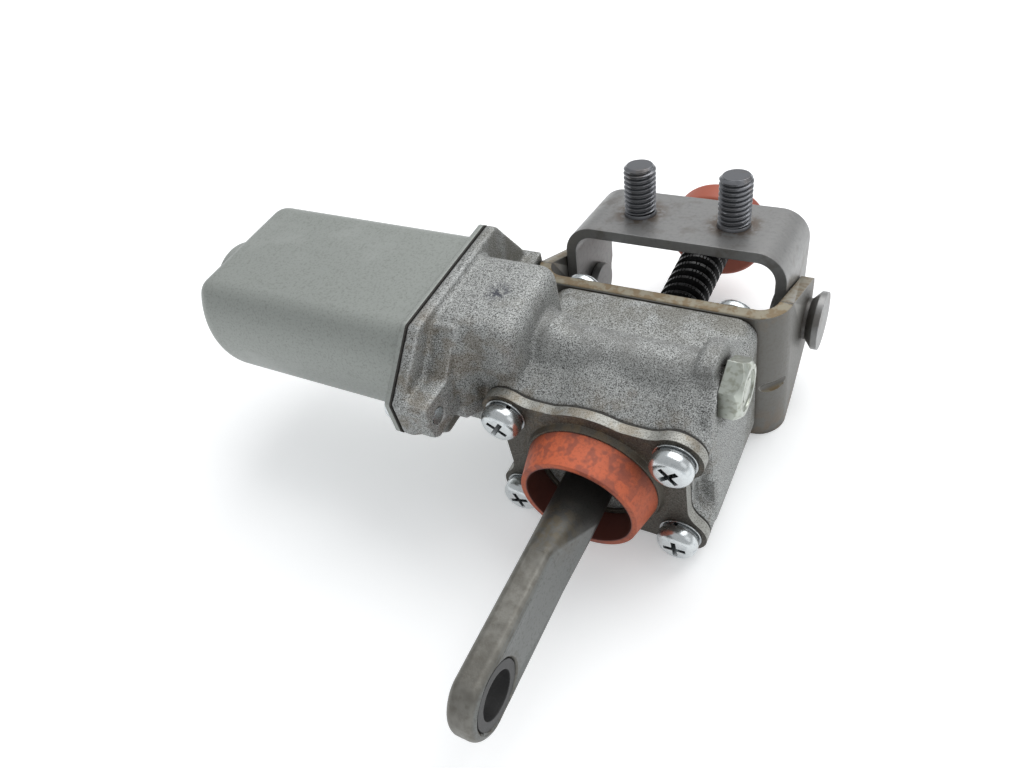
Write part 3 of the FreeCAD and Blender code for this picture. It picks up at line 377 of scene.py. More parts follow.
# %% The recipe for a worn finish
def worn_finish(name, colour, metallic, roughness, *layers,
                extra=None, bump=0.3, bump_depth=0.12 * MM):
    """extra adds the marks of one piece, stains and, on the rubber cup, painted shade: it takes the
    tree and the chain, and gives the chain.
    """
    of_kind = {type(layer): layer for layer in layers}
    grain, marks = of_kind.get(Grain), of_kind.get(Marks)
    patches, shade_in_corners = of_kind.get(Patches, NO_PATCHES), of_kind.get(CornerShade, NO_CORNER_SHADE)
    edges = of_kind.get(Edges, NO_EDGES)
    material, tree = bare_material(name)
    base = add_node(tree, "ShaderNodeRGB").outputs[0]
    base.default_value = (*colour, 1)
    chain = base
    wear = place_group(tree, worn_edges, Radius=edges.radius * MM, Strength=edges.strength)
    heights = []
    if grain:
        spots = place_group(tree, speckle, Size=grain.size * MM, Cover=grain.cover,
                            Softness=grain.softness)
        chain = mix_in(tree, chain, spots.outputs["Mask"], grain.colour, grain.amount)
        heights.append(spots.outputs["Height"])
    if marks:
        lines = place_group(tree, fine_marks, Along_X=marks.x, Along_Y=marks.y, Along_Z=marks.z)
        chain = mix_in(tree, chain, lines.outputs["Mask"], marks.colour, marks.amount)
        heights.append(lines.outputs["Mask"])
    if patches.colour or shade_in_corners.colour:
        shade_and_patches = place_group(tree, corner_shade_and_patches, Reach=shade_in_corners.reach * MM, Patch_Size=patches.size * MM,
                            Patch_Cover=patches.cover)
    if patches.colour:
        chain = mix_in(tree, chain, shade_and_patches.outputs["Patches"], patches.colour, patches.amount)
    # Painted shade: the corner colour is laid where ambient occlusion finds corners and recesses.
    if shade_in_corners.colour:
        chain = mix_in(tree, chain, shade_and_patches.outputs["Corners"], shade_in_corners.colour, shade_in_corners.amount)
    if edges.colour:
        chain = mix_in(tree, chain, wear.outputs["Mask"], edges.colour, edges.amount)
    if extra:
        chain = extra(tree, chain)
    gloss = add_node(tree, "ShaderNodeMapRange", To_Min=roughness[0], To_Max=roughness[1],
                     Value=heights[0] if heights else wear.outputs["Mask"])
    normal = wear.outputs["Normal"]
    for height in heights:
        relief = add_node(tree, "ShaderNodeBump", Strength=bump, Distance=bump_depth,
                          Height=height, Normal=normal)
        normal = relief.outputs["Normal"]
    shader = add_node(tree, "ShaderNodeBsdfPrincipled", Base_Color=chain, Metallic=metallic,
                      Roughness=gloss.outputs["Result"], Normal=normal)
    add_node(tree, "ShaderNodeOutputMaterial", Surface=shader.outputs["BSDF"])
    print("finish", name, "has", len(tree.nodes), "nodes")
    return material


# %% Masks that follow a place on the part
def coordinate(tree, source, axis):
    """One coordinate of the place (Object) or of the direction that a face looks in (Normal)."""
    place = add_node(tree, "ShaderNodeTexCoord").outputs[source]
    return add_node(tree, "ShaderNodeSeparateXYZ", Vector=place).outputs[axis]


def axis_band(tree, axis, start, end):
    """A mask that rises from 0 at start to 1 at end, along one axis."""
    return ramp(tree, coordinate(tree, "Object", axis), start, end)


def round_spot(tree, centre, inner, outer, flat_axis=None):
    """A mask that is 1 within inner of the centre and 0 beyond outer.

    flat_axis is left out of the distance.
    """
    place = add_node(tree, "ShaderNodeTexCoord").outputs["Object"]
    away = compute_vector(tree, "SUBTRACT", place, centre)
    kept = [0 if axis == flat_axis else 1 for axis in "XYZ"]
    distance = compute_vector(tree, "LENGTH", compute_vector(tree, "MULTIPLY", away, kept))
    return ramp(tree, distance, outer, inner, "SMOOTHSTEP")


def facing(tree, axis, start, end):
    """A mask for faces that look along an axis. A minus sign before the axis turns it round."""
    sign = -1 if axis.startswith("-") else 1
    return ramp(tree, coordinate(tree, "Normal", axis[-1]), sign * start, sign * end)


def cloudy(tree, mask, size, cover, softness=0.1):
    """Breaks a mask up with a cloud, so that it doesn't end in a straight line."""
    cloud = place_group(tree, speckle, Size=size * MM, Cover=cover, Softness=softness)
    return compute(tree, "MULTIPLY", mask, cloud.outputs["Mask"])


# %% [markdown]
# ### Cast aluminium
# The housing was cast, tumbled and handled for years. It is light grey with a salt-and-pepper
# grain, brown oil round the cover and the worm tube, and a dark scuff on the motor's neck.

# %% Cast aluminium for the housing
BROWN = (0.16, 0.115, 0.06)
SCUFF = at(-25.5, 69.5, 34.4)
OIL_DROP = at(7.5, 62.0, 19.5)
TUBE_TOP = Vector((0, MOTOR_AXIS.y, 26 * MM))


def housing_stains(tree, chain):
    bright = place_group(tree, speckle, Size=0.33 * MM, Cover=0.6, Softness=0.05)
    chain = mix_in(tree, chain, bright.outputs["Mask"], (0.78, 0.8, 0.79), 0.65)
    scuff = cloudy(tree, round_spot(tree, SCUFF, 0.6 * MM, 4.2 * MM), 0.9, 0.5, 0.08)
    chain = mix_in(tree, chain, scuff, (0.02, 0.022, 0.045), 0.8)
    front = axis_band(tree, "Y", COVER_FRONT + 9 * MM, COVER_FRONT + 3 * MM)
    chain = mix_in(tree, chain, cloudy(tree, front, 5.0, 0.52), BROWN, 0.4)
    rear = axis_band(tree, "Y", CASE_REAR - 14 * MM, CASE_REAR - 2 * MM)
    chain = mix_in(tree, chain, cloudy(tree, rear, 7.0, 0.47, 0.14), (0.15, 0.14, 0.11), 0.6)
    tube = round_spot(tree, TUBE_TOP, 3 * MM, 9 * MM, "X")
    chain = mix_in(tree, chain, cloudy(tree, tube, 5.0, 0.48, 0.12), (0.2, 0.2, 0.19), 0.45)
    drop = cloudy(tree, round_spot(tree, OIL_DROP, 0.4 * MM, 2.2 * MM), 0.8, 0.45)
    return mix_in(tree, chain, drop, (0.12, 0.07, 0.02), 0.85)


cast = worn_finish(
    "cast_aluminium", (0.43, 0.44, 0.43), 0.5, (0.52, 0.72),
    Grain(0.25, 0.53, (0.06, 0.06, 0.058), 0.9, softness=0.04),
    Patches(13.0, 0.55, (0.23, 0.225, 0.2), 0.4),
    CornerShade(5.0, (0.05, 0.047, 0.04), 1.0),
    Edges(0.4, 6.0, (0.72, 0.74, 0.74), 0.65),
    extra=housing_stains, bump=0.35, bump_depth=0.16 * MM)

# %% [markdown]
# ### The front cover
# The cover is the same metal, but its face is dark brown with old oil. Its milled rim stays
# lighter.

# %% Oiled cover
DISC_RADIUS = 18.0 * MM


def oily_face(tree, chain):
    face = facing(tree, "-Y", 0.35, 0.75)
    chain = mix_in(tree, chain, face, (0.06, 0.053, 0.041), 0.92)
    disc = round_spot(tree, (0, COVER_FRONT, 0), DISC_RADIUS - 0.6 * MM, DISC_RADIUS, "Y")
    chain = mix_in(tree, chain, disc, (0.075, 0.062, 0.045), 0.85)
    rust = cloudy(tree, axis_band(tree, "Z", 8 * MM, 16 * MM), 3.5, 0.52)
    chain = mix_in(tree, chain, rust, (0.2, 0.14, 0.07), 0.4)
    chain = mix_in(tree, chain, cloudy(tree, face, 0.28, 0.54, 0.06), (0.2, 0.19, 0.17), 0.5)
    return mix_in(tree, chain, cloudy(tree, face, 0.5, 0.56, 0.06), (0.03, 0.027, 0.022), 0.6)


cover = worn_finish(
    "oiled_cover", (0.42, 0.42, 0.39), 0.55, (0.4, 0.6),
    Grain(0.26, 0.55, (0.08, 0.075, 0.065), 0.7, softness=0.07),
    CornerShade(3.5, (0.045, 0.04, 0.03), 0.85),
    Edges(0.3, 5.0, (0.62, 0.62, 0.58), 0.6),
    extra=oily_face)

# %% [markdown]
# ### Sheet steel
# The motor can is drawn from grey-green zinc-plated sheet, with faint marks along the draw. Yoke
# and bracket are pressed from thicker sheet, whose cut edges have begun to rust.

# %% Drawn can
can_steel = worn_finish(
    "drawn_can", (0.37, 0.392, 0.37), 0.35, (0.36, 0.5),
    Grain(0.5, 0.58, (0.22, 0.235, 0.21), 0.65, softness=0.12),
    Marks(60.0, 500.0, 500.0, (0.3, 0.32, 0.3), 0.4),
    Patches(22.0, 0.52, (0.44, 0.46, 0.44), 0.4),
    CornerShade(2.0, (0.1, 0.095, 0.08), 0.6),
    Edges(0.5, 3.0, (0.55, 0.57, 0.55), 0.35),
    bump=0.12, bump_depth=0.1 * MM)


# %% Pressed yoke with a rusty top edge
def yoke_rust(tree, chain):
    top_edge = facing(tree, "Z", 0.5, 0.9)
    chain = mix_in(tree, chain, top_edge, (0.25, 0.225, 0.165), 0.85)
    chain = mix_in(tree, chain, cloudy(tree, top_edge, 2.2, 0.5), (0.16, 0.11, 0.055), 0.8)
    lower = cloudy(tree, axis_band(tree, "Z", -8 * MM, -20 * MM), 4.0, 0.52)
    return mix_in(tree, chain, lower, (0.2, 0.13, 0.07), 0.4)


yoke_steel = worn_finish(
    "pressed_yoke", (0.155, 0.152, 0.142), 0.5, (0.36, 0.56),
    Grain(0.7, 0.58, (0.13, 0.12, 0.1), 0.5, softness=0.12),
    Marks(200.0, 60.0, 700.0, (0.17, 0.165, 0.15), 0.45),
    Patches(9.0, 0.57, (0.2, 0.15, 0.1), 0.5),
    CornerShade(3.0, (0.06, 0.045, 0.03), 0.7),
    Edges(0.35, 5.0, (0.5, 0.49, 0.46), 0.5),
    extra=yoke_rust, bump=0.2)


# %% Swivel bracket with stains round the staked studs
def stud_stains(tree, chain):
    for x in STUD_X:
        foot = middle("mounting_studs") + Vector((x, 0, 0))
        ring = round_spot(tree, foot, 4.6 * MM, 8.2 * MM, "Z")
        chain = mix_in(tree, chain, cloudy(tree, ring, 2.6, 0.46, 0.12), (0.12, 0.085, 0.06), 0.8)
    return chain


bracket_steel = worn_finish(
    "pressed_bracket", (0.3, 0.298, 0.29), 0.6, (0.3, 0.5),
    Grain(1.1, 0.6, (0.2, 0.2, 0.2), 0.45, softness=0.16),
    Marks(70.0, 600.0, 600.0, (0.22, 0.22, 0.23), 0.45),
    Patches(7.0, 0.53, (0.17, 0.155, 0.14), 0.6),
    CornerShade(2.5, (0.06, 0.05, 0.04), 0.7),
    Edges(0.35, 4.0, (0.5, 0.51, 0.52), 0.5),
    extra=stud_stains, bump=0.15)

# %% [markdown]
# ### Bright and dark steel, rubber, and the rest
# Screws are bright zinc. The rod is dark oiled steel with brown rust that turns grey at the flat
# blade, and the stops are rubber. The parts inside the housing get simple finishes of their own.

# %% Zinc screws and ground steel
zinc = worn_finish(
    "bright_zinc", (0.63, 0.66, 0.67), 0.95, (0.16, 0.34),
    Grain(1.4, 0.62, (0.42, 0.46, 0.48), 0.6, softness=0.12),
    CornerShade(1.4, (0.05, 0.055, 0.06), 0.9),
    Edges(0.12, 4.0, (0.9, 0.92, 0.92), 0.5), bump=0.08)
hex_zinc = worn_finish(
    "hexagon_zinc", (0.5, 0.53, 0.48), 0.85, (0.24, 0.42),
    Grain(1.6, 0.56, (0.3, 0.31, 0.25), 0.75, softness=0.1),
    CornerShade(1.8, (0.1, 0.09, 0.06), 0.8),
    Edges(0.2, 4.0, (0.85, 0.87, 0.84), 0.6), bump=0.15)
stud_steel = worn_finish(
    "stud_steel", (0.2, 0.205, 0.22), 0.85, (0.28, 0.45),
    Patches(6.0, 0.55, (0.2, 0.17, 0.15), 0.5),
    CornerShade(0.8, (0.04, 0.04, 0.045), 0.9),
    Edges(0.1, 5.0, (0.66, 0.68, 0.7), 0.7))
ground_steel = worn_finish(
    "ground_steel", (0.55, 0.56, 0.57), 0.9, (0.24, 0.36),
    Marks(900.0, 200.0, 200.0, (0.4, 0.41, 0.42), 0.4), bump=0.08)

# %% The oiled rod
FLAT_SLANT = 1.7
FLAT_END = 41.6 * MM


def blade_flat(tree):
    """A mask for the milled flats: they end in a long point towards the housing."""
    off_middle = compute(tree, "ABSOLUTE", coordinate(tree, "Object", "Z"))
    slant = compute(tree, "MULTIPLY_ADD", off_middle, FLAT_SLANT, coordinate(tree, "Object", "Y"))
    sideways = compute(tree, "ABSOLUTE", coordinate(tree, "Normal", "X"))
    return compute(tree, "MULTIPLY", ramp(tree, slant, FLAT_END, FLAT_END - 1.2 * MM),
                   ramp(tree, sideways, 0.7, 0.92))


def rod_tones(tree, chain):
    front = axis_band(tree, "Y", 38 * MM, 20 * MM)
    chain = mix_in(tree, chain, front, (0.17, 0.163, 0.143), 0.9)
    chain = mix_in(tree, chain, cloudy(tree, front, 5.0, 0.5, 0.14), (0.28, 0.275, 0.25), 0.6)
    chain = mix_in(tree, chain, cloudy(tree, front, 1.6, 0.57, 0.12), (0.12, 0.11, 0.09), 0.4)
    flat = blade_flat(tree)
    chain = mix_in(tree, chain, flat, (0.185, 0.193, 0.188), 0.95)
    chain = mix_in(tree, chain, cloudy(tree, flat, 0.7, 0.6, 0.06), (0.09, 0.09, 0.085), 0.5)
    rust = cloudy(tree, round_spot(tree, at(-2, 33, 6), 3 * MM, 10 * MM), 1.8, 0.5, 0.08)
    chain = mix_in(tree, chain, rust, (0.1, 0.075, 0.035), 0.45)
    ring = cloudy(tree, round_spot(tree, (0, 0, 0), 8.6 * MM, 8.9 * MM, "X"), 1.2, 0.5, 0.15)
    return mix_in(tree, chain, ring, (0.13, 0.125, 0.11), 0.55)


rod_steel = worn_finish(
    "oiled_rod", (0.032, 0.033, 0.032), 0.5, (0.36, 0.54),
    Grain(0.4, 0.58, (0.012, 0.012, 0.012), 0.6, softness=0.1),
    Marks(500.0, 90.0, 500.0, (0.07, 0.066, 0.055), 0.35),
    CornerShade(2.0, (0.03, 0.03, 0.03), 0.8),
    Edges(0.3, 3.0, (0.42, 0.41, 0.38), 0.4),
    extra=rod_tones, bump=0.25)
# On the black thread, the light edge colour is a painted highlight along the crests.
thread_steel = worn_finish(
    "black_thread", (0.018, 0.018, 0.019), 0.4, (0.3, 0.45),
    Grain(0.6, 0.6, (0.04, 0.04, 0.04), 0.5),
    CornerShade(1.5, (0.006, 0.006, 0.006), 0.8),
    Edges(0.15, 5.0, (0.3, 0.3, 0.3), 0.6), bump=0.15)

# %% Rubber and fibre
CUP_INSIDE = 12.35 * MM


def cup_shade(tree, chain):
    # Painted shade inside the cup's opening.
    inside = round_spot(tree, (0, 0, 0), CUP_INSIDE, CUP_INSIDE + 0.55 * MM, "Y")
    chain = mix_in(tree, chain, inside, (0.05, 0.016, 0.013), 0.88)
    scuffs = cloudy(tree, axis_band(tree, "Z", -2 * MM, 12 * MM), 3.2, 0.53, 0.06)
    chain = mix_in(tree, chain, scuffs, (0.15, 0.055, 0.05), 0.5)
    # Painted shade on the underside: the cup gets darker towards the bottom.
    return mix_in(tree, chain, axis_band(tree, "Z", 2 * MM, -14 * MM), (0.2, 0.06, 0.045), 0.6)


orange = worn_finish(
    "orange_rubber", (0.66, 0.148, 0.062), 0.0, (0.46, 0.62),
    Grain(0.7, 0.6, (0.33, 0.07, 0.045), 0.4, softness=0.12),
    Patches(7.0, 0.54, (0.24, 0.07, 0.05), 0.5),
    CornerShade(7.0, (0.03, 0.011, 0.009), 0.95),
    Edges(0.4, 3.0, (0.55, 0.18, 0.11), 0.4),
    extra=cup_shade, bump=0.25)
dark_red = worn_finish(
    "dark_red_rubber", (0.42, 0.1, 0.055), 0.0, (0.5, 0.66),
    Patches(9.0, 0.5, (0.26, 0.06, 0.04), 0.6),
    CornerShade(7.0, (0.06, 0.02, 0.014), 0.9),
    Edges(0.5, 3.0, (0.55, 0.18, 0.11), 0.4))
black_rubber = worn_finish("black_rubber", (0.022, 0.022, 0.022), 0.0, (0.5, 0.7),
                           Grain(0.5, 0.6, (0.04, 0.04, 0.04), 0.5))
gasket = worn_finish("gasket_fibre", (0.035, 0.033, 0.03), 0.0, (0.7, 0.9),
                     Grain(0.4, 0.55, (0.08, 0.075, 0.065), 0.6))

# %% Parts inside the housing
bronze = worn_finish("sintered_bronze", (0.5, 0.31, 0.12), 0.85, (0.35, 0.55),
                     Grain(0.3, 0.58, (0.2, 0.11, 0.04), 0.6))
copper = worn_finish("enamelled_copper", (0.55, 0.2, 0.08), 0.8, (0.25, 0.4),
                     Marks(200.0, 2200.0, 2200.0, (0.2, 0.06, 0.03), 0.8))
acetal = worn_finish("natural_acetal", (0.72, 0.7, 0.6), 0.0, (0.35, 0.5),
                     Patches(8.0, 0.55, (0.5, 0.42, 0.25), 0.4))
card = worn_finish("black_moulding", (0.03, 0.03, 0.03), 0.0, (0.4, 0.55),
                   Grain(0.4, 0.6, (0.05, 0.05, 0.05), 0.4))
laminated = worn_finish("laminated_steel", (0.25, 0.25, 0.26), 0.85, (0.35, 0.5),
                        Marks(3000.0, 60.0, 60.0, (0.08, 0.08, 0.08), 0.7))
ferrite = worn_finish("ferrite", (0.04, 0.04, 0.043), 0.2, (0.5, 0.7),
                      Grain(0.5, 0.6, (0.07, 0.07, 0.07), 0.5))
carbon = worn_finish("carbon", (0.025, 0.025, 0.025), 0.1, (0.45, 0.6),
                     Grain(0.25, 0.6, (0.07, 0.07, 0.07), 0.5))

# %% [markdown]
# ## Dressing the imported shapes
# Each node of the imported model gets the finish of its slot. The slots come from the record, so one
# table from slot to finish is enough.

# %% Finish by slot
FINISH = {
    "cast": cast, "cover": cover, "can_steel": can_steel, "zinc": zinc, "hex_zinc": hex_zinc,
    "rod_steel": rod_steel, "bracket_steel": bracket_steel, "yoke_steel": yoke_steel,
    "orange_rubber": orange, "black_rubber": black_rubber, "dark_stop": dark_red,
    "gasket": gasket, "bronze": bronze, "copper": copper, "gear_plastic": acetal,
    "card_plastic": card, "bright_steel": ground_steel, "core_steel": laminated,
    "ferrite": ferrite, "carbon": carbon}
SLOT_OF = {part["node"]: part["material_slot"] for part in frame["record"]["subparts"]}
for name, piece in nodes.items():
    piece.data.materials.clear()
    piece.data.materials.append(FINISH[SLOT_OF[name]])
print("dressed", len(nodes), "nodes")

# %% [markdown]
# ## Tools for new pieces
# New pieces are made as by hand: a primitive is added, faces or edges are picked by where they
# lie, and then extruded, inset or bevelled. These helpers pick things, apply modifiers, cut one
# piece with another and put a finished piece in place.


# %% Selecting a piece
def nothing_selected():
    bpy.ops.object.select_all(action="DESELECT")


def only(piece):
    """Makes this piece the one that is selected and active."""
    nothing_selected()
    bpy.context.view_layer.objects.active = piece
    piece.select_set(True)


def edit(piece):
    only(piece)
    bpy.ops.object.mode_set(mode="EDIT")


def object_mode():
    bpy.ops.object.mode_set(mode="OBJECT")


# %% Selecting faces and edges
def select_mesh():
    bpy.ops.mesh.select_all(action="SELECT")


def pick(piece, kind, test):
    """Selects, in edit mode, the faces or edges whose middle and direction pass a test."""
    bpy.ops.mesh.select_mode(type=kind)
    bpy.ops.mesh.select_all(action="DESELECT")
    object_mode()
    mesh = piece.data
    if kind == "FACE":
        for face in mesh.polygons:
            face.select = test(face.center, face.normal)
    else:
        for line in mesh.edges:
            start, end = [mesh.vertices[i].co for i in line.vertices]
            line.select = test((start + end) / 2, (end - start).normalized())
    bpy.ops.object.mode_set(mode="EDIT")


def turn_outward():
    """Makes every face look outward, and ends the editing."""
    select_mesh()
    bpy.ops.mesh.normals_make_consistent(inside=False)
    object_mode()


# %% Making a piece, cutting it and smoothing it
def new_piece(add, **settings):
    """Runs an operator that adds a primitive, and gives the new piece."""
    nothing_selected()
    add(**settings)
    return bpy.context.object


def settle(piece):
    """Puts the piece's place into its mesh."""
    only(piece)
    bpy.ops.object.transform_apply(location=True, rotation=True, scale=True)


def apply_modifier(piece, kind, **settings):
    only(piece)
    modifier = piece.modifiers.new(kind.lower(), kind)
    for name, value in settings.items():
        setattr(modifier, name, value)
    bpy.ops.object.modifier_apply(modifier=modifier.name)


def combine(piece, tool, operation="DIFFERENCE"):
    apply_modifier(piece, "BOOLEAN", operation=operation, object=tool, solver="EXACT")
    bpy.data.objects.remove(tool)


def smooth(piece, degrees):
    only(piece)
    bpy.ops.object.shade_smooth_by_angle(angle=math.radians(degrees))


def extrude_along_z(length):
    bpy.ops.mesh.extrude_region_move(TRANSFORM_OT_translate={"value": (0, 0, length)})


# %% Copying a piece and putting it in place
MERGE = 0.001 * MM


def stand(spot, degrees, axis, twist=0.0):
    """The move that tips a piece made along z and takes it to a spot.

    twist turns it round its own axis.
    """
    tip = Matrix.Translation(spot) @ Matrix.Rotation(math.radians(degrees), 4, axis)
    return tip @ Matrix.Rotation(math.radians(twist), 4, "Z")


def copy_at(piece, move):
    twin = new_object(piece.name, piece.data.copy())
    twin.data.transform(move)
    return twin


def packed_copy(node):
    """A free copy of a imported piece, whose double points are merged."""
    twin = nodes[node].copy()
    twin.data = nodes[node].data.copy()
    bpy.context.scene.collection.objects.link(twin)
    twin.parent = None
    edit(twin)
    select_mesh()
    bpy.ops.mesh.remove_doubles(threshold=MERGE)
    object_mode()
    return twin


# %% Handing a finished piece over
def finish_piece(piece, name, material, body, slot, *replaced):
    settle(piece)
    piece.name = name
    piece.data.materials.clear()
    piece.data.materials.append(material)
    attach(piece, body)
    if replaced:
        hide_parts(*replaced)
    print("piece", name, "has", len(piece.data.polygons), "faces")


def finish_screw(piece, name, *replaced):
    finish_piece(piece, name, zinc, "housing", "zinc", *replaced)


# %% [markdown]
# ## Screws with a cross recess
# Four pan head screws hold the cover, four more the yoke, and two the motor. Each has a low domed
# head with a tapered cross recess. The head is a cylinder whose rim is bevelled in seven steps,
# and two crossed wedges cut the recess. Under the heads on the cover lie a split ring and a flat
# ring.


# %% A cylinder that stands on its base
def cylinder(radius, bottom, top, vertices=48):
    piece = new_piece(bpy.ops.mesh.primitive_cylinder_add, radius=radius, depth=top - bottom,
                      vertices=vertices, location=(0, 0, (bottom + top) / 2))
    settle(piece)
    return piece


def bevel_rim(piece, height, width, steps):
    edit(piece)
    pick(piece, "EDGE", lambda centre, along: abs(centre.z - height) < MERGE
         and abs(along.z) < 0.01)
    bpy.ops.mesh.bevel(offset=width, segments=steps, profile=0.5)
    object_mode()


# %% One tapered arm of the cross that cuts the recess
ARM_TAPER = 0.45


def recess_arm(span, width, depth, top, turned):
    arm = new_piece(bpy.ops.mesh.primitive_cube_add, size=1.0, location=(0, 0, top - depth / 2))
    arm.scale = (span, width, depth)
    arm.rotation_euler = (0, 0, turned)
    settle(arm)
    edit(arm)
    pick(arm, "FACE", lambda centre, normal: normal.z < -0.9)
    bpy.ops.transform.resize(value=(ARM_TAPER, ARM_TAPER, 1.0))
    object_mode()
    return arm


# %% A pan head with its recess
def pan_head(radius, height, shank_radius, shank_length):
    foot = 0.2 * MM
    head = cylinder(radius, 0.0, height)
    bevel_rim(head, height, height * 0.6, 7)
    bevel_rim(head, 0.0, foot, 2)
    edit(head)
    pick(head, "FACE", lambda centre, normal: normal.z < -0.9 and centre.z < 0.01 * MM)
    bpy.ops.mesh.inset(thickness=radius - foot - shank_radius)
    extrude_along_z(-shank_length)
    object_mode()
    for turned in (0.0, math.pi / 2):
        combine(head, recess_arm(radius * 1.25, radius * 0.27, height * 0.95, height * 1.2, turned))
    smooth(head, 32)
    return head


# %% Spring washer and flat washer
SPLIT_TURN = math.radians(346)


def split_ring(inner, outer, bottom, top):
    """A square section spun almost once round, so that a slit stays open."""
    ring = new_piece(bpy.ops.mesh.primitive_plane_add, size=1.0)
    ring.scale = (outer - inner, top - bottom, 1)
    ring.rotation_euler = (math.pi / 2, 0, 0)
    ring.location = ((inner + outer) / 2, 0, (bottom + top) / 2)
    settle(ring)
    edit(ring)
    select_mesh()
    bpy.ops.mesh.spin(steps=44, angle=SPLIT_TURN, center=(0, 0, 0), axis=(0, 0, 1))
    turn_outward()
    edit(ring)
    bpy.ops.mesh.select_all(action="DESELECT")
    bpy.ops.mesh.select_mode(type="EDGE")
    bpy.ops.mesh.select_non_manifold()
    bpy.ops.mesh.edge_face_add()
    turn_outward()
    smooth(ring, 32)
    return ring


def flat_ring(inner, outer, bottom, top, rim):
    ring = cylinder(outer, bottom, top)
    bevel_rim(ring, top, rim, 2)
    combine(ring, cylinder(inner, bottom - MM, top + MM, 32))
    smooth(ring, 32)
    return ring


# %% The four cover screws
COVER_SCREW = (19.7 * MM, 13.6 * MM)
HEAD_LINE = low("cover_screw_washers", "y")
RING_LINE = -0.75 * MM
cover_head = pan_head(radius=4.7 * MM, height=3.4 * MM, shank_radius=2.2 * MM,
                      shank_length=9.0 * MM)
spring_ring = split_ring(2.5 * MM, 4.3 * MM, RING_LINE, -0.05 * MM)
plate_ring = flat_ring(2.45 * MM, 4.9 * MM, -1.3 * MM, RING_LINE, rim=0.12 * MM)
for number, (side, level) in enumerate(CORNERS):
    spot = (side * COVER_SCREW[0], HEAD_LINE, level * COVER_SCREW[1])
    move = stand(spot, 90, "X", twist=20 + 37 * number)
    finish_screw(copy_at(cover_head, move), f"cover_screw_{number}", "cover_screws")
    finish_screw(copy_at(spring_ring, move), f"spring_ring_{number}", "cover_screw_washers")
    finish_screw(copy_at(plate_ring, move), f"plate_ring_{number}")
for pattern in (cover_head, spring_ring, plate_ring):
    bpy.data.objects.remove(pattern)
print("heads in front of y", round(HEAD_LINE, 4))

# %% The yoke screws
YOKE_SCREW = (18.8 * MM, 14.6 * MM)
yoke_head = pan_head(radius=4.9 * MM, height=2.8 * MM, shank_radius=2.3 * MM,
                     shank_length=12.0 * MM)
for number, (side, level) in enumerate(CORNERS):
    spot = (side * YOKE_SCREW[0], YOKE_REAR, level * YOKE_SCREW[1])
    move = stand(spot, -90, "X", twist=15 + 29 * number)
    finish_screw(copy_at(yoke_head, move), f"yoke_screw_{number}", "yoke_screws")
bpy.data.objects.remove(yoke_head)

# %% [markdown]
# ## The top of the casting
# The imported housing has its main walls, but the real casting is finer on top. The wall behind the
# cover rises as a terrace that follows the cover's wavy outline, and the worm tube stands out
# from it between a round boss at the motor's side and a block at the bolt. In a copy of the
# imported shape, a thin terrace and the skin of the tube are added, what stands too high is cut
# away, and a new even mesh softens all the edges as in a worn casting.

# %% The wavy edge of the cover, measured from above
CASE_FRONT = COVER_FRONT + 3.0 * MM
DRAFT = 0.53
LOOKING_DOWN = Vector((0, 0, -1))


def top_of_cover(x):
    x = max(-COVER_SCREW[0], min(COVER_SCREW[0], x))
    start = Vector((x, COVER_FRONT + 1.2 * MM, 50 * MM))
    return nodes["gearbox_cover"].ray_cast(start, LOOKING_DOWN)[1].z


print("cover edge at the middle and at a waist:", round(top_of_cover(0), 4),
      round(top_of_cover(10 * MM), 4))


# %% Slabs, blocks and bars to add and to cut with
def terrace_slab(left, right, front, rear, thickness):
    """A slab that lies on the terrace, or hangs below it when the thickness is negative."""
    slab = new_piece(bpy.ops.mesh.primitive_grid_add, x_subdivisions=48, y_subdivisions=8,
                     size=1.0)
    slab.scale = (right - left, rear - front, 1)
    slab.location = ((left + right) / 2, (front + rear) / 2, 0)
    settle(slab)
    for point in slab.data.vertices:
        point.co.z = top_of_cover(point.co.x) + DRAFT * (point.co.y - CASE_FRONT)
    edit(slab)
    select_mesh()
    extrude_along_z(thickness)
    turn_outward()
    return slab


def block(low_corner, high_corner):
    cube = new_piece(bpy.ops.mesh.primitive_cube_add, size=1.0,
                     location=(low_corner + high_corner) / 2)
    cube.scale = high_corner - low_corner
    settle(cube)
    return cube


def bar_on_axis(radius, left, right, off_y=0.0, off_z=0.0, rounded=0.0):
    """A bar along the motor's axis, or beside it by off_y and off_z."""
    bar = cylinder(radius, left, right, 96)
    if rounded:
        bevel_rim(bar, right, rounded, 6)
    bar.data.transform(stand((0, MOTOR_AXIS.y + off_y, MOTOR_AXIS.z + off_z), 90, "Y"))
    return bar


# %% The terrace and the skin of the tube are added
TUBE_RADIUS = 6.5 * MM
SKIN_INSIDE = 5.65 * MM
TUNNEL_END = 14.6 * MM
housing = packed_copy("gearbox_case")
ledge = terrace_slab(-16.9 * MM, 22.0 * MM, CASE_FRONT, CASE_FRONT + 8.6 * MM, -1.3 * MM)
combine(housing, ledge, "UNION")
skin = bar_on_axis(TUBE_RADIUS, -TUNNEL_END, TUNNEL_END)
combine(skin, bar_on_axis(SKIN_INSIDE, -TUNNEL_END - MM, TUNNEL_END + MM))
combine(skin, block(at(-20, 50, 0), at(20, 90, 18.4)))
combine(housing, skin, "UNION")
print("housing faces with its terrace:", len(housing.data.polygons))

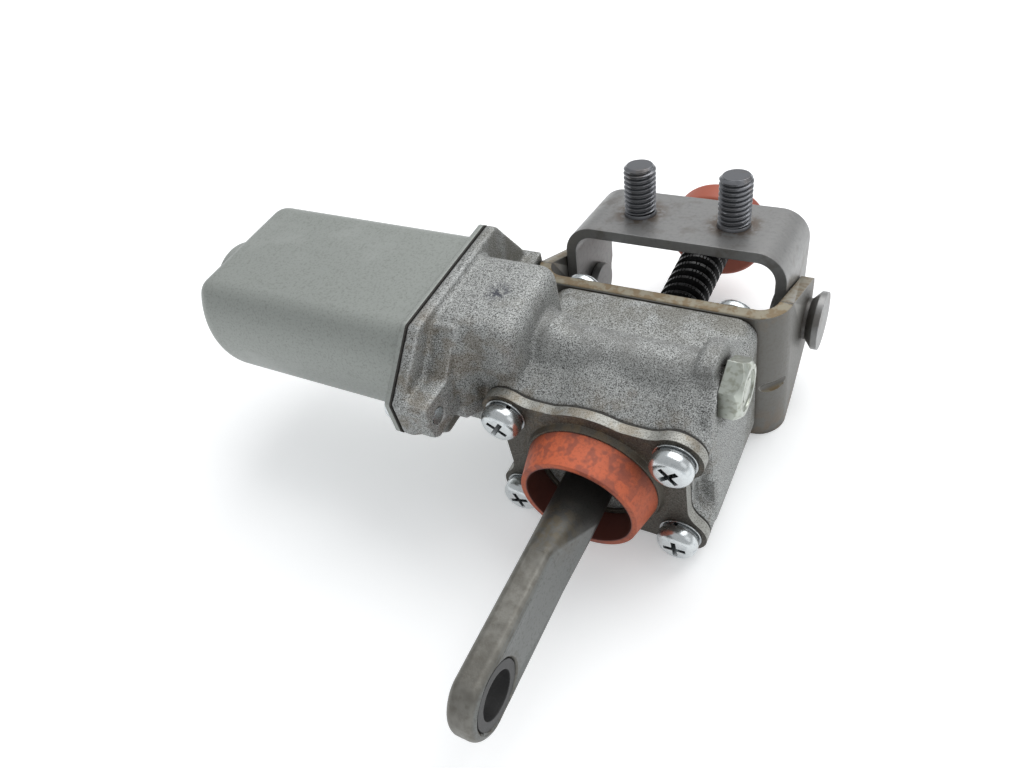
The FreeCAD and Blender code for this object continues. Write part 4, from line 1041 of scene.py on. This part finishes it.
# %% What stands too high is cut away
BOSS_RADIUS = 7.6 * MM
BOSS_END = -10.6 * MM
CUT_LEFT, CUT_RIGHT = -16.7, 25.9  # millimetres
BAR_LEFT, BAR_RIGHT = -20 * MM, 30 * MM
over = terrace_slab(CUT_LEFT * MM, CUT_RIGHT * MM, CASE_FRONT - 0.3 * MM,
                    CASE_FRONT + 11.0 * MM, 12.0 * MM)
combine(over, block(at(CUT_LEFT, 66.9, 18.95), at(CUT_RIGHT, 79.4, 34)), "UNION")
combine(over, bar_on_axis(TUBE_RADIUS, BAR_LEFT, BAR_RIGHT))
boss = bar_on_axis(BOSS_RADIUS, BAR_LEFT, BOSS_END, off_y=0.7 * MM, off_z=0.4 * MM,
                   rounded=3.4 * MM)
combine(over, boss)
combine(over, block(at(19.6, 65.4, 15), at(24.2, 85, 36)))
combine(housing, over)
print("housing faces after the cut:", len(housing.data.polygons))

# %% The crack in the block
CRACK_FLOOR = 8.7 * MM
crack = block(at(21.8, 64.0, 20), at(22.5, 86, 40))
combine(crack, bar_on_axis(CRACK_FLOOR, 15 * MM, BAR_RIGHT))
combine(housing, crack)
print("housing faces with its crack:", len(housing.data.polygons))

# %% Soft edges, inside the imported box
VOXEL = 0.55 * MM
apply_modifier(housing, "REMESH", mode="VOXEL", voxel_size=VOXEL, use_smooth_shade=True)
apply_modifier(housing, "SMOOTH", factor=0.5, iterations=3)
packed_box = [(low("gearbox_case", axis), high("gearbox_case", axis)) for axis in "xyz"]
for point in housing.data.vertices:
    point.co = [max(least, min(most, value)) for value, (least, most) in zip(point.co, packed_box)]
finish_piece(housing, "housing", cast, "housing", "cast", "gearbox_case")

# %% [markdown]
# ## The darts in the yoke
# A stamped dart stiffens each bend of the yoke. It is a long shallow hollow, so a stretched ball
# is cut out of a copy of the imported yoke.

# %% Two darts
DART_TURN = math.radians(48)
plate = packed_copy("yoke")
for side in (-1, 1):
    dart = new_piece(bpy.ops.mesh.primitive_uv_sphere_add, segments=40, ring_count=24, radius=1.0)
    dart.scale = at(6.4, 1.5, 1.7)
    dart.rotation_euler = (0, 0, side * DART_TURN)
    dart.location = at(side * 29.4, 93.1, -3.4)
    settle(dart)
    combine(plate, dart)
smooth(plate, 30)
apply_modifier(plate, "WEIGHTED_NORMAL", mode="FACE_AREA", weight=100, keep_sharp=True)
finish_piece(plate, "yoke_plate", yoke_steel, "housing", "yoke_steel", "yoke")

# %% [markdown]
# ## Hexagons and small screws
# The bolt at the end of the worm tube has a chamfered hexagon head with a dished face. The nut on
# the long screw is chamfered on both sides. Both start as six-sided cylinders that a chamfered
# disc trims.

# %% A hexagon trimmed by a chamfered disc
CHAMFER_SHARE = 0.32


def hexagon(flats, height, both_sides):
    corner = flats / math.sqrt(3)
    head = cylinder(corner, 0.0, height, 6)
    below = -0.01 * MM
    disc = cylinder(corner * 1.001, below, height, 96)
    for level in ((below, height) if both_sides else (height,)):
        bevel_rim(disc, level, height * CHAMFER_SHARE, 1)
    combine(head, disc, "INTERSECT")
    return head


# %% The adjuster bolt
BOLT_SEAT = 24.95 * MM
DISH_FLOOR = 4.0 * MM
KNOB_TOP = 4.35 * MM
bolt = hexagon(12.0 * MM, 4.55 * MM, both_sides=False)
dish = cylinder(4.5 * MM, DISH_FLOOR, 5.0 * MM, 64)
bevel_rim(dish, DISH_FLOOR, 0.4 * MM, 2)
combine(bolt, dish)
knob = cylinder(2.6 * MM, DISH_FLOOR - 0.1 * MM, KNOB_TOP)
bevel_rim(knob, KNOB_TOP, 0.3 * MM, 2)
combine(bolt, knob, "UNION")
combine(bolt, cylinder(3.9 * MM, -6.0 * MM, 0.3 * MM), "UNION")
smooth(bolt, 25)
bolt.data.transform(stand((BOLT_SEAT, MOTOR_AXIS.y, MOTOR_AXIS.z), 90, "Y", twist=25))
finish_piece(bolt, "hexagon_bolt", hex_zinc, "housing", "hex_zinc", "adjuster_bolt")

# %% The nut at the end of the long screw
NUT_FLATS = 14.6 * MM
nut = hexagon(NUT_FLATS * 0.998, 5.5 * MM, both_sides=True)
combine(nut, cylinder(6.15 * MM, -MM, 7 * MM))
smooth(nut, 25)
nut.data.transform(stand((0, low("end_nut", "y"), 0), -90, "X"))
finish_piece(nut, "lock_nut", ground_steel, "lead_screw", SLOT_OF["end_nut"], "end_nut")

# %% The motor screws
MOTOR_SCREWS = [(at(-40.6, 43.7, 19.825), 10.3 * MM), (at(-40.6, 96.1, 15.225), 8.3 * MM)]
for number, (spot, length) in enumerate(MOTOR_SCREWS):
    screw = pan_head(radius=3.4 * MM, height=2.6 * MM, shank_radius=1.95 * MM,
                     shank_length=length)
    screw.data.transform(stand(spot, -90, "Y", twist=30 + 25 * number))
    finish_screw(screw, f"motor_screw_{number}", "motor_screws")

# %% [markdown]
# ## Threads
# The long screw has a coarse thread, the studs a fine one. One turn of the profile is drawn as a
# short row of points, and the Screw modifier winds it upwards. Both ends are then cut flat and
# closed.

# %% Winding a thread
FLANK_SHARE = 0.31


def thread(core, crest, pitch, bottom, top, flat=0.3, steps=32):
    """A wound thread along z from bottom to top. flat is the share of the pitch that is crest."""
    turns = int((top - bottom) / pitch) + 3
    start = bottom - 1.5 * pitch
    slope = (1.0 - flat) * FLANK_SHARE
    outline = [(core, 0.0), (core, 1.0 - flat - 2 * slope), (crest, 1.0 - flat - slope),
               (crest, 1.0 - slope), (core, 1.0)]
    mesh = bpy.data.meshes.new("thread")
    mesh.from_pydata([(radius, 0, start + pitch * share) for radius, share in outline],
                     [(i, i + 1) for i in range(len(outline) - 1)], [])
    piece = new_object("thread", mesh)
    apply_modifier(piece, "SCREW", axis="Z", angle=math.tau, screw_offset=pitch,
                   iterations=turns, steps=steps, render_steps=steps,
                   use_merge_vertices=True, merge_threshold=MERGE)
    edit(piece)
    select_mesh()
    bpy.ops.mesh.remove_doubles(threshold=2 * MERGE)
    for height, upward in ((bottom, False), (top, True)):
        select_mesh()
        bpy.ops.mesh.bisect(plane_co=(0, 0, height), plane_no=(0, 0, 1), use_fill=True,
                            clear_outer=upward, clear_inner=not upward)
    turn_outward()
    return piece


# %% Rounding the end of a thread
def point_end(piece, radius, bottom, top, chamfer):
    """Keeps only what lies inside a bar with a chamfered top end."""
    bar = cylinder(radius, bottom - 0.01 * MM, top)
    bevel_rim(bar, top, chamfer, 1)
    combine(piece, bar, "INTERSECT")
    smooth(piece, 30)


# %% The two studs
STUD_RADIUS = 3.98 * MM
STUD_START = 0.2 * MM
STUD_TOP = 12.97 * MM
PLATE_LIFT = 23.1 * MM
lean = math.radians(TILT)
STUD_FOOT = Vector((0, PIVOT.y + PLATE_LIFT * math.sin(lean), PLATE_LIFT * math.cos(lean)))
stud = thread(3.35 * MM, STUD_RADIUS, 1.25 * MM, STUD_START, STUD_TOP, flat=0.16)
point_end(stud, STUD_RADIUS, STUD_START, STUD_TOP, 0.8 * MM)
collar = cylinder(4.0 * MM, -2.6 * MM, 0.9 * MM)
bevel_rim(collar, 0.9 * MM, 0.25 * MM, 2)
head = cylinder(5.2 * MM, -3.8 * MM, -2.55 * MM)
bevel_rim(head, -3.8 * MM, 0.4 * MM, 3)
combine(collar, head, "UNION")
smooth(collar, 30)
for number, x in enumerate(STUD_X):
    move = stand(STUD_FOOT + Vector((x, 0, 0)), -TILT, "X", twist=70 * number)
    finish_piece(copy_at(stud, move), f"stud_thread_{number}", stud_steel, "swivel_bracket",
                 "bright_steel", "mounting_studs")
    finish_piece(copy_at(collar, move), f"stud_collar_{number}", stud_steel, "swivel_bracket",
                 "bright_steel")
bpy.data.objects.remove(stud)
bpy.data.objects.remove(collar)
print("studs on the tilted bracket at", [round(v, 4) for v in STUD_FOOT])

# %% [markdown]
# ## The long screw
# In front the screw is a round rod that is forged flat into a blade with an eye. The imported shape
# of the blade is right, so a copy of it is kept. Between blade and rod the flats run out in a long
# point. That part is a row of outlines bridged with straight lines, from the rounded bar to the
# circle. Behind, a coarse black thread runs through the nut.

# %% The blade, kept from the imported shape
THREAD_START = COVER_FRONT + 6.0 * MM
BLADE_END = 27.0 * MM
TAPER_END = 41.0 * MM
SCREW_END = high("lead_screw", "y")
blade = packed_copy("lead_screw")
edit(blade)
select_mesh()
bpy.ops.mesh.bisect(plane_co=(0, BLADE_END - 0.05 * MM, 0), plane_no=(0, 1, 0), use_fill=True,
                    clear_outer=True)
object_mode()
smooth(blade, 34)
finish_piece(blade, "eye_blade", rod_steel, "lead_screw", "rod_steel", "lead_screw")


# %% Outlines of the taper
def bar_outline(half_x, half_z, corner, y, steps=12):
    """Points round a bar with rounded corners, each corner with the same number of steps."""
    points = []
    for quarter, (sx, sz) in enumerate([(1, 1), (-1, 1), (-1, -1), (1, -1)]):
        for step in range(steps + 1):
            angle = math.pi / 2 * (quarter + step / steps)
            points.append((sx * (half_x - corner) + corner * math.cos(angle), y,
                           sz * (half_z - corner) + corner * math.sin(angle)))
    return points


def round_outline(y):
    return bar_outline(ROD_RADIUS, ROD_RADIUS, ROD_RADIUS - 0.001 * MM, y)


ROD_RADIUS = 5.8 * MM
TAPER_FRONT = BLADE_END - 0.1 * MM
TAPER_STEPS = 8
flat_end = bar_outline(3.2 * MM, 8.5 * MM, 2.0 * MM, TAPER_FRONT)
outlines = [flat_end]
for step in range(1, TAPER_STEPS + 1):
    outlines.append([tuple(Vector(a).lerp(Vector(b), step / TAPER_STEPS))
                     for a, b in zip(flat_end, round_outline(TAPER_END))])
outlines.append(round_outline(THREAD_START))
print("outlines:", len(outlines), "of", len(flat_end), "points")

# %% The taper from the flat bar to the round rod
count = len(flat_end)
lines = [(row * count + i, row * count + (i + 1) % count)
         for row in range(len(outlines)) for i in range(count)]
mesh = bpy.data.meshes.new("taper")
mesh.from_pydata([point for outline in outlines for point in outline], lines, [])
taper = new_object("taper", mesh)
edit(taper)
bpy.ops.mesh.select_mode(type="EDGE")
select_mesh()
bpy.ops.mesh.bridge_edge_loops()
for end in (TAPER_FRONT, THREAD_START):
    pick(taper, "EDGE", lambda centre, along: abs(centre.y - end) < 0.01 * MM
         and abs(along.y) < 0.01)
    bpy.ops.mesh.edge_face_add()
turn_outward()
smooth(taper, 30)
finish_piece(taper, "rod_taper", rod_steel, "lead_screw", "rod_steel")

# %% The rear thread
CREST = 6.1 * MM
rear = thread(4.7 * MM, CREST, 3.0 * MM, THREAD_START, SCREW_END, flat=0.28, steps=40)
point_end(rear, CREST, THREAD_START, SCREW_END, 1.2 * MM)
rear.data.transform(Matrix.Rotation(-math.pi / 2, 4, "X"))
finish_piece(rear, "long_thread", thread_steel, "lead_screw", "rod_steel")
print("thread from", round(THREAD_START, 4), "to", round(SCREW_END, 4))
